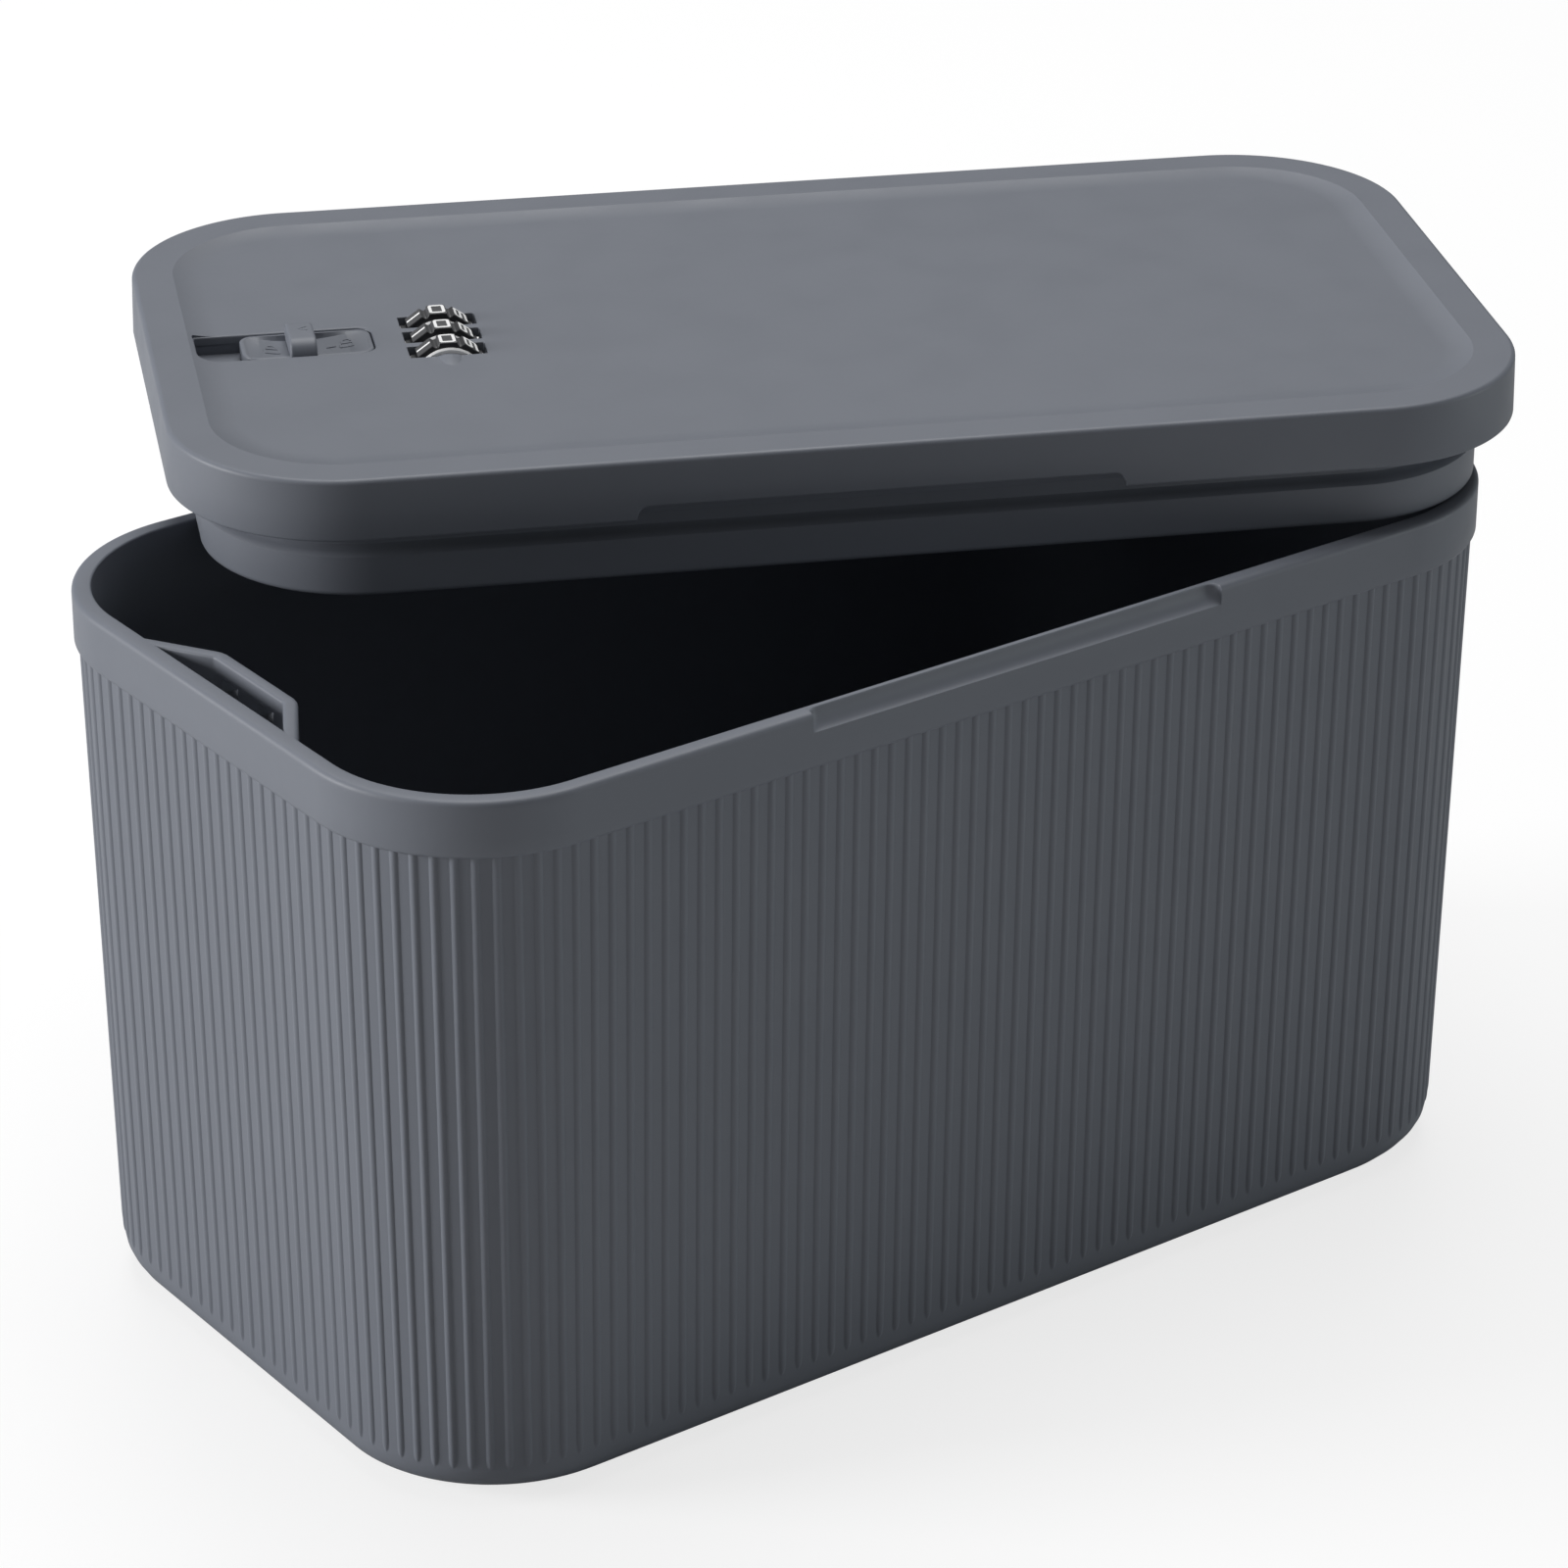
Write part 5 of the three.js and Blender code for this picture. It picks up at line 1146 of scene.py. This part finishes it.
for index, name in enumerate(DIAL_NAMES):
    centre = Matrix.Translation(Vector((DIAL_X, dial_y(index), DIAL_Z)) * MM)
    dial = mesh_object(f"dial_{name}_ring", dial_shape(), CHARCOAL, sharp=SHARP_DIAL)
    make_outward(dial)
    radius = SLEEVE_RADIUS + BORE_GAP
    bore = mesh_object("bore", turned_along_y([(radius, -5), (radius, 5)], (0, 0), 48), CHARCOAL)
    make_outward(bore)
    cut_away(dial, [bore], sharp=SHARP_DIAL)
    # Faces that look along the spindle get the darker copy, painted shade for the gaps between the dials
    dial.data.materials.append(PAINTED_SIDE_SHADE)
    for face in dial.data.polygons:
        face.material_index = int(abs(face.normal.y) > 0.6)
    digits = mesh_object(f"dial_{name}_digits", digit_shapes(), INK, sharp=SHARP_DETAIL)
    sleeve = mesh_object(f"sleeve_{name}", sleeve_shape(FLANGE_RADII[index]), WHITE, sharp=SHARP_DETAIL)
    make_outward(sleeve)
    below = box_shape(-CUTTER / 2, CUTTER / 2, -CUTTER, CUTTER, -CUTTER, FLANGE_FLAT - FLANGE_RADIUS)
    cut_away(sleeve, [mesh_object("flat", below, WHITE)], sharp=SHARP_DETAIL)
    for piece, slot in ((dial, "dial_plastic"), (digits, "white_plastic"), (sleeve, "white_plastic")):
        piece.data.transform(LID_MATRIX @ centre)
        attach(piece, f"{name}_dial")
    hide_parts(f"dial_{name}")
    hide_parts(f"code_sleeve_{name}")


# The lock's inner pieces keep their solids
MATERIALS = {
    "lock_chassis": INNER, "lock_cover": SLATE, "reset_lever": CHARCOAL,
    "index_spring": SPRING_STEEL, "click_spring": SPRING_STEEL, "sleeve_spring": SPRING_STEEL,
}
for name, obj in frame["nodes"].items():
    if obj.hide_render:
        continue
    material = MATERIALS.get(name, STEEL)
    obj.data.materials.clear()
    obj.data.materials.append(material)


# Camera
camera_data = bpy.data.cameras.new("camera")
camera_data.sensor_width = 36
camera_data.lens = CAMERA_LENS
camera_data.shift_x, camera_data.shift_y = CAMERA_SHIFT
camera_data.clip_end = 20
camera = bpy.data.objects.new("camera", camera_data)
look = Matrix.Rotation(-CAMERA_TURN, 4, "Z") @ Matrix.Rotation(math.pi / 2 - CAMERA_DIP, 4, "X")
camera.matrix_world = Matrix.Translation(CAMERA_PLACE * MM) @ look @ Matrix.Rotation(CAMERA_ROLL, 4, "Z")
bpy.context.scene.collection.objects.link(camera)
bpy.context.scene.camera = camera


# Studio
def area_light(name, place, target, size, power, colour=(1, 1, 1)):
    data = bpy.data.lights.new(name, "AREA")
    data.shape = "RECTANGLE"
    data.size, data.size_y = size
    data.energy = power
    data.color = colour
    light = bpy.data.objects.new(name, data)
    light.location = place
    light.rotation_euler = (Vector(target) - Vector(place)).to_track_quat("-Z", "Y").to_euler()
    bpy.context.scene.collection.objects.link(light)


area_light("side", place=(-2.05, 1.1, 0.7), target=(0, 0, 0.12), size=(0.9, 0.7), power=46)
area_light("top", place=(0.4, 0.6, 2.25), target=(0, 0, 0.15), size=(1.3, 2.2), power=38)
area_light("fill", place=(2.7, -2, 0.28), target=(0, 0, 0.08), size=(1.4, 0.4), power=17,
           colour=(0.92, 1, 1))

world = bpy.data.worlds.new("studio")
bpy.context.scene.world = world
world.use_nodes = True
tree = world.node_tree
background = tree.nodes["Background"]
background.inputs["Color"].default_value = (1, 1, 1, 1)
background.inputs["Strength"].default_value = WORLD_LIGHT
white = tree.nodes.new("ShaderNodeBackground")
white.inputs["Strength"].default_value = 1
rays = tree.nodes.new("ShaderNodeLightPath")
either = tree.nodes.new("ShaderNodeMath")
either.operation = "MAXIMUM"
mixer = tree.nodes.new("ShaderNodeMixShader")
tree.links.new(rays.outputs["Is Camera Ray"], either.inputs[0])
tree.links.new(rays.outputs["Is Transmission Ray"], either.inputs[1])
tree.links.new(either.outputs["Value"], mixer.inputs["Fac"])
tree.links.new(background.outputs["Background"], mixer.inputs[1])
tree.links.new(white.outputs["Background"], mixer.inputs[2])
tree.links.new(mixer.outputs["Shader"], tree.nodes["World Output"].inputs["Surface"])

# The floor lights the box like white paper, and looks white with a light shadow
floor_material = bpy.data.materials.new("floor")
floor_material.use_nodes = True
floor_tree = floor_material.node_tree
paint = floor_tree.nodes["Principled BSDF"]
paint.inputs["Roughness"].default_value = 0.9
paint.inputs["Specular IOR Level"].default_value = 0.1
glow = floor_tree.nodes.new("ShaderNodeEmission")
floor_rays = floor_tree.nodes.new("ShaderNodeLightPath")
shade_share = floor_tree.nodes.new("ShaderNodeMath")
shade_share.operation = "MULTIPLY_ADD"
shade_share.inputs[1].default_value = FLOOR_SEEN - FLOOR_PAINT
shade_share.inputs[2].default_value = FLOOR_PAINT
glow_share = floor_tree.nodes.new("ShaderNodeMath")
glow_share.operation = "MULTIPLY"
glow_share.inputs[1].default_value = FLOOR_GLOW
add = floor_tree.nodes.new("ShaderNodeAddShader")
floor_tree.links.new(floor_rays.outputs["Is Camera Ray"], shade_share.inputs[0])
floor_tree.links.new(floor_rays.outputs["Is Camera Ray"], glow_share.inputs[0])
floor_tree.links.new(shade_share.outputs["Value"], paint.inputs["Base Color"])
floor_tree.links.new(glow_share.outputs["Value"], glow.inputs["Strength"])
floor_tree.links.new(paint.outputs["BSDF"], add.inputs[0])
floor_tree.links.new(glow.outputs["Emission"], add.inputs[1])
floor_tree.links.new(add.outputs["Shader"], floor_tree.nodes["Material Output"].inputs["Surface"])
corners = [Vector((x * FLOOR_SIZE, y * FLOOR_SIZE, FLOOR_Z)) for x, y in ((-1, -1), (1, -1), (1, 1), (-1, 1))]
floor = mesh_object("floor", loft([corners], False, True), floor_material)

bpy.context.scene.view_settings.view_transform = "Standard"
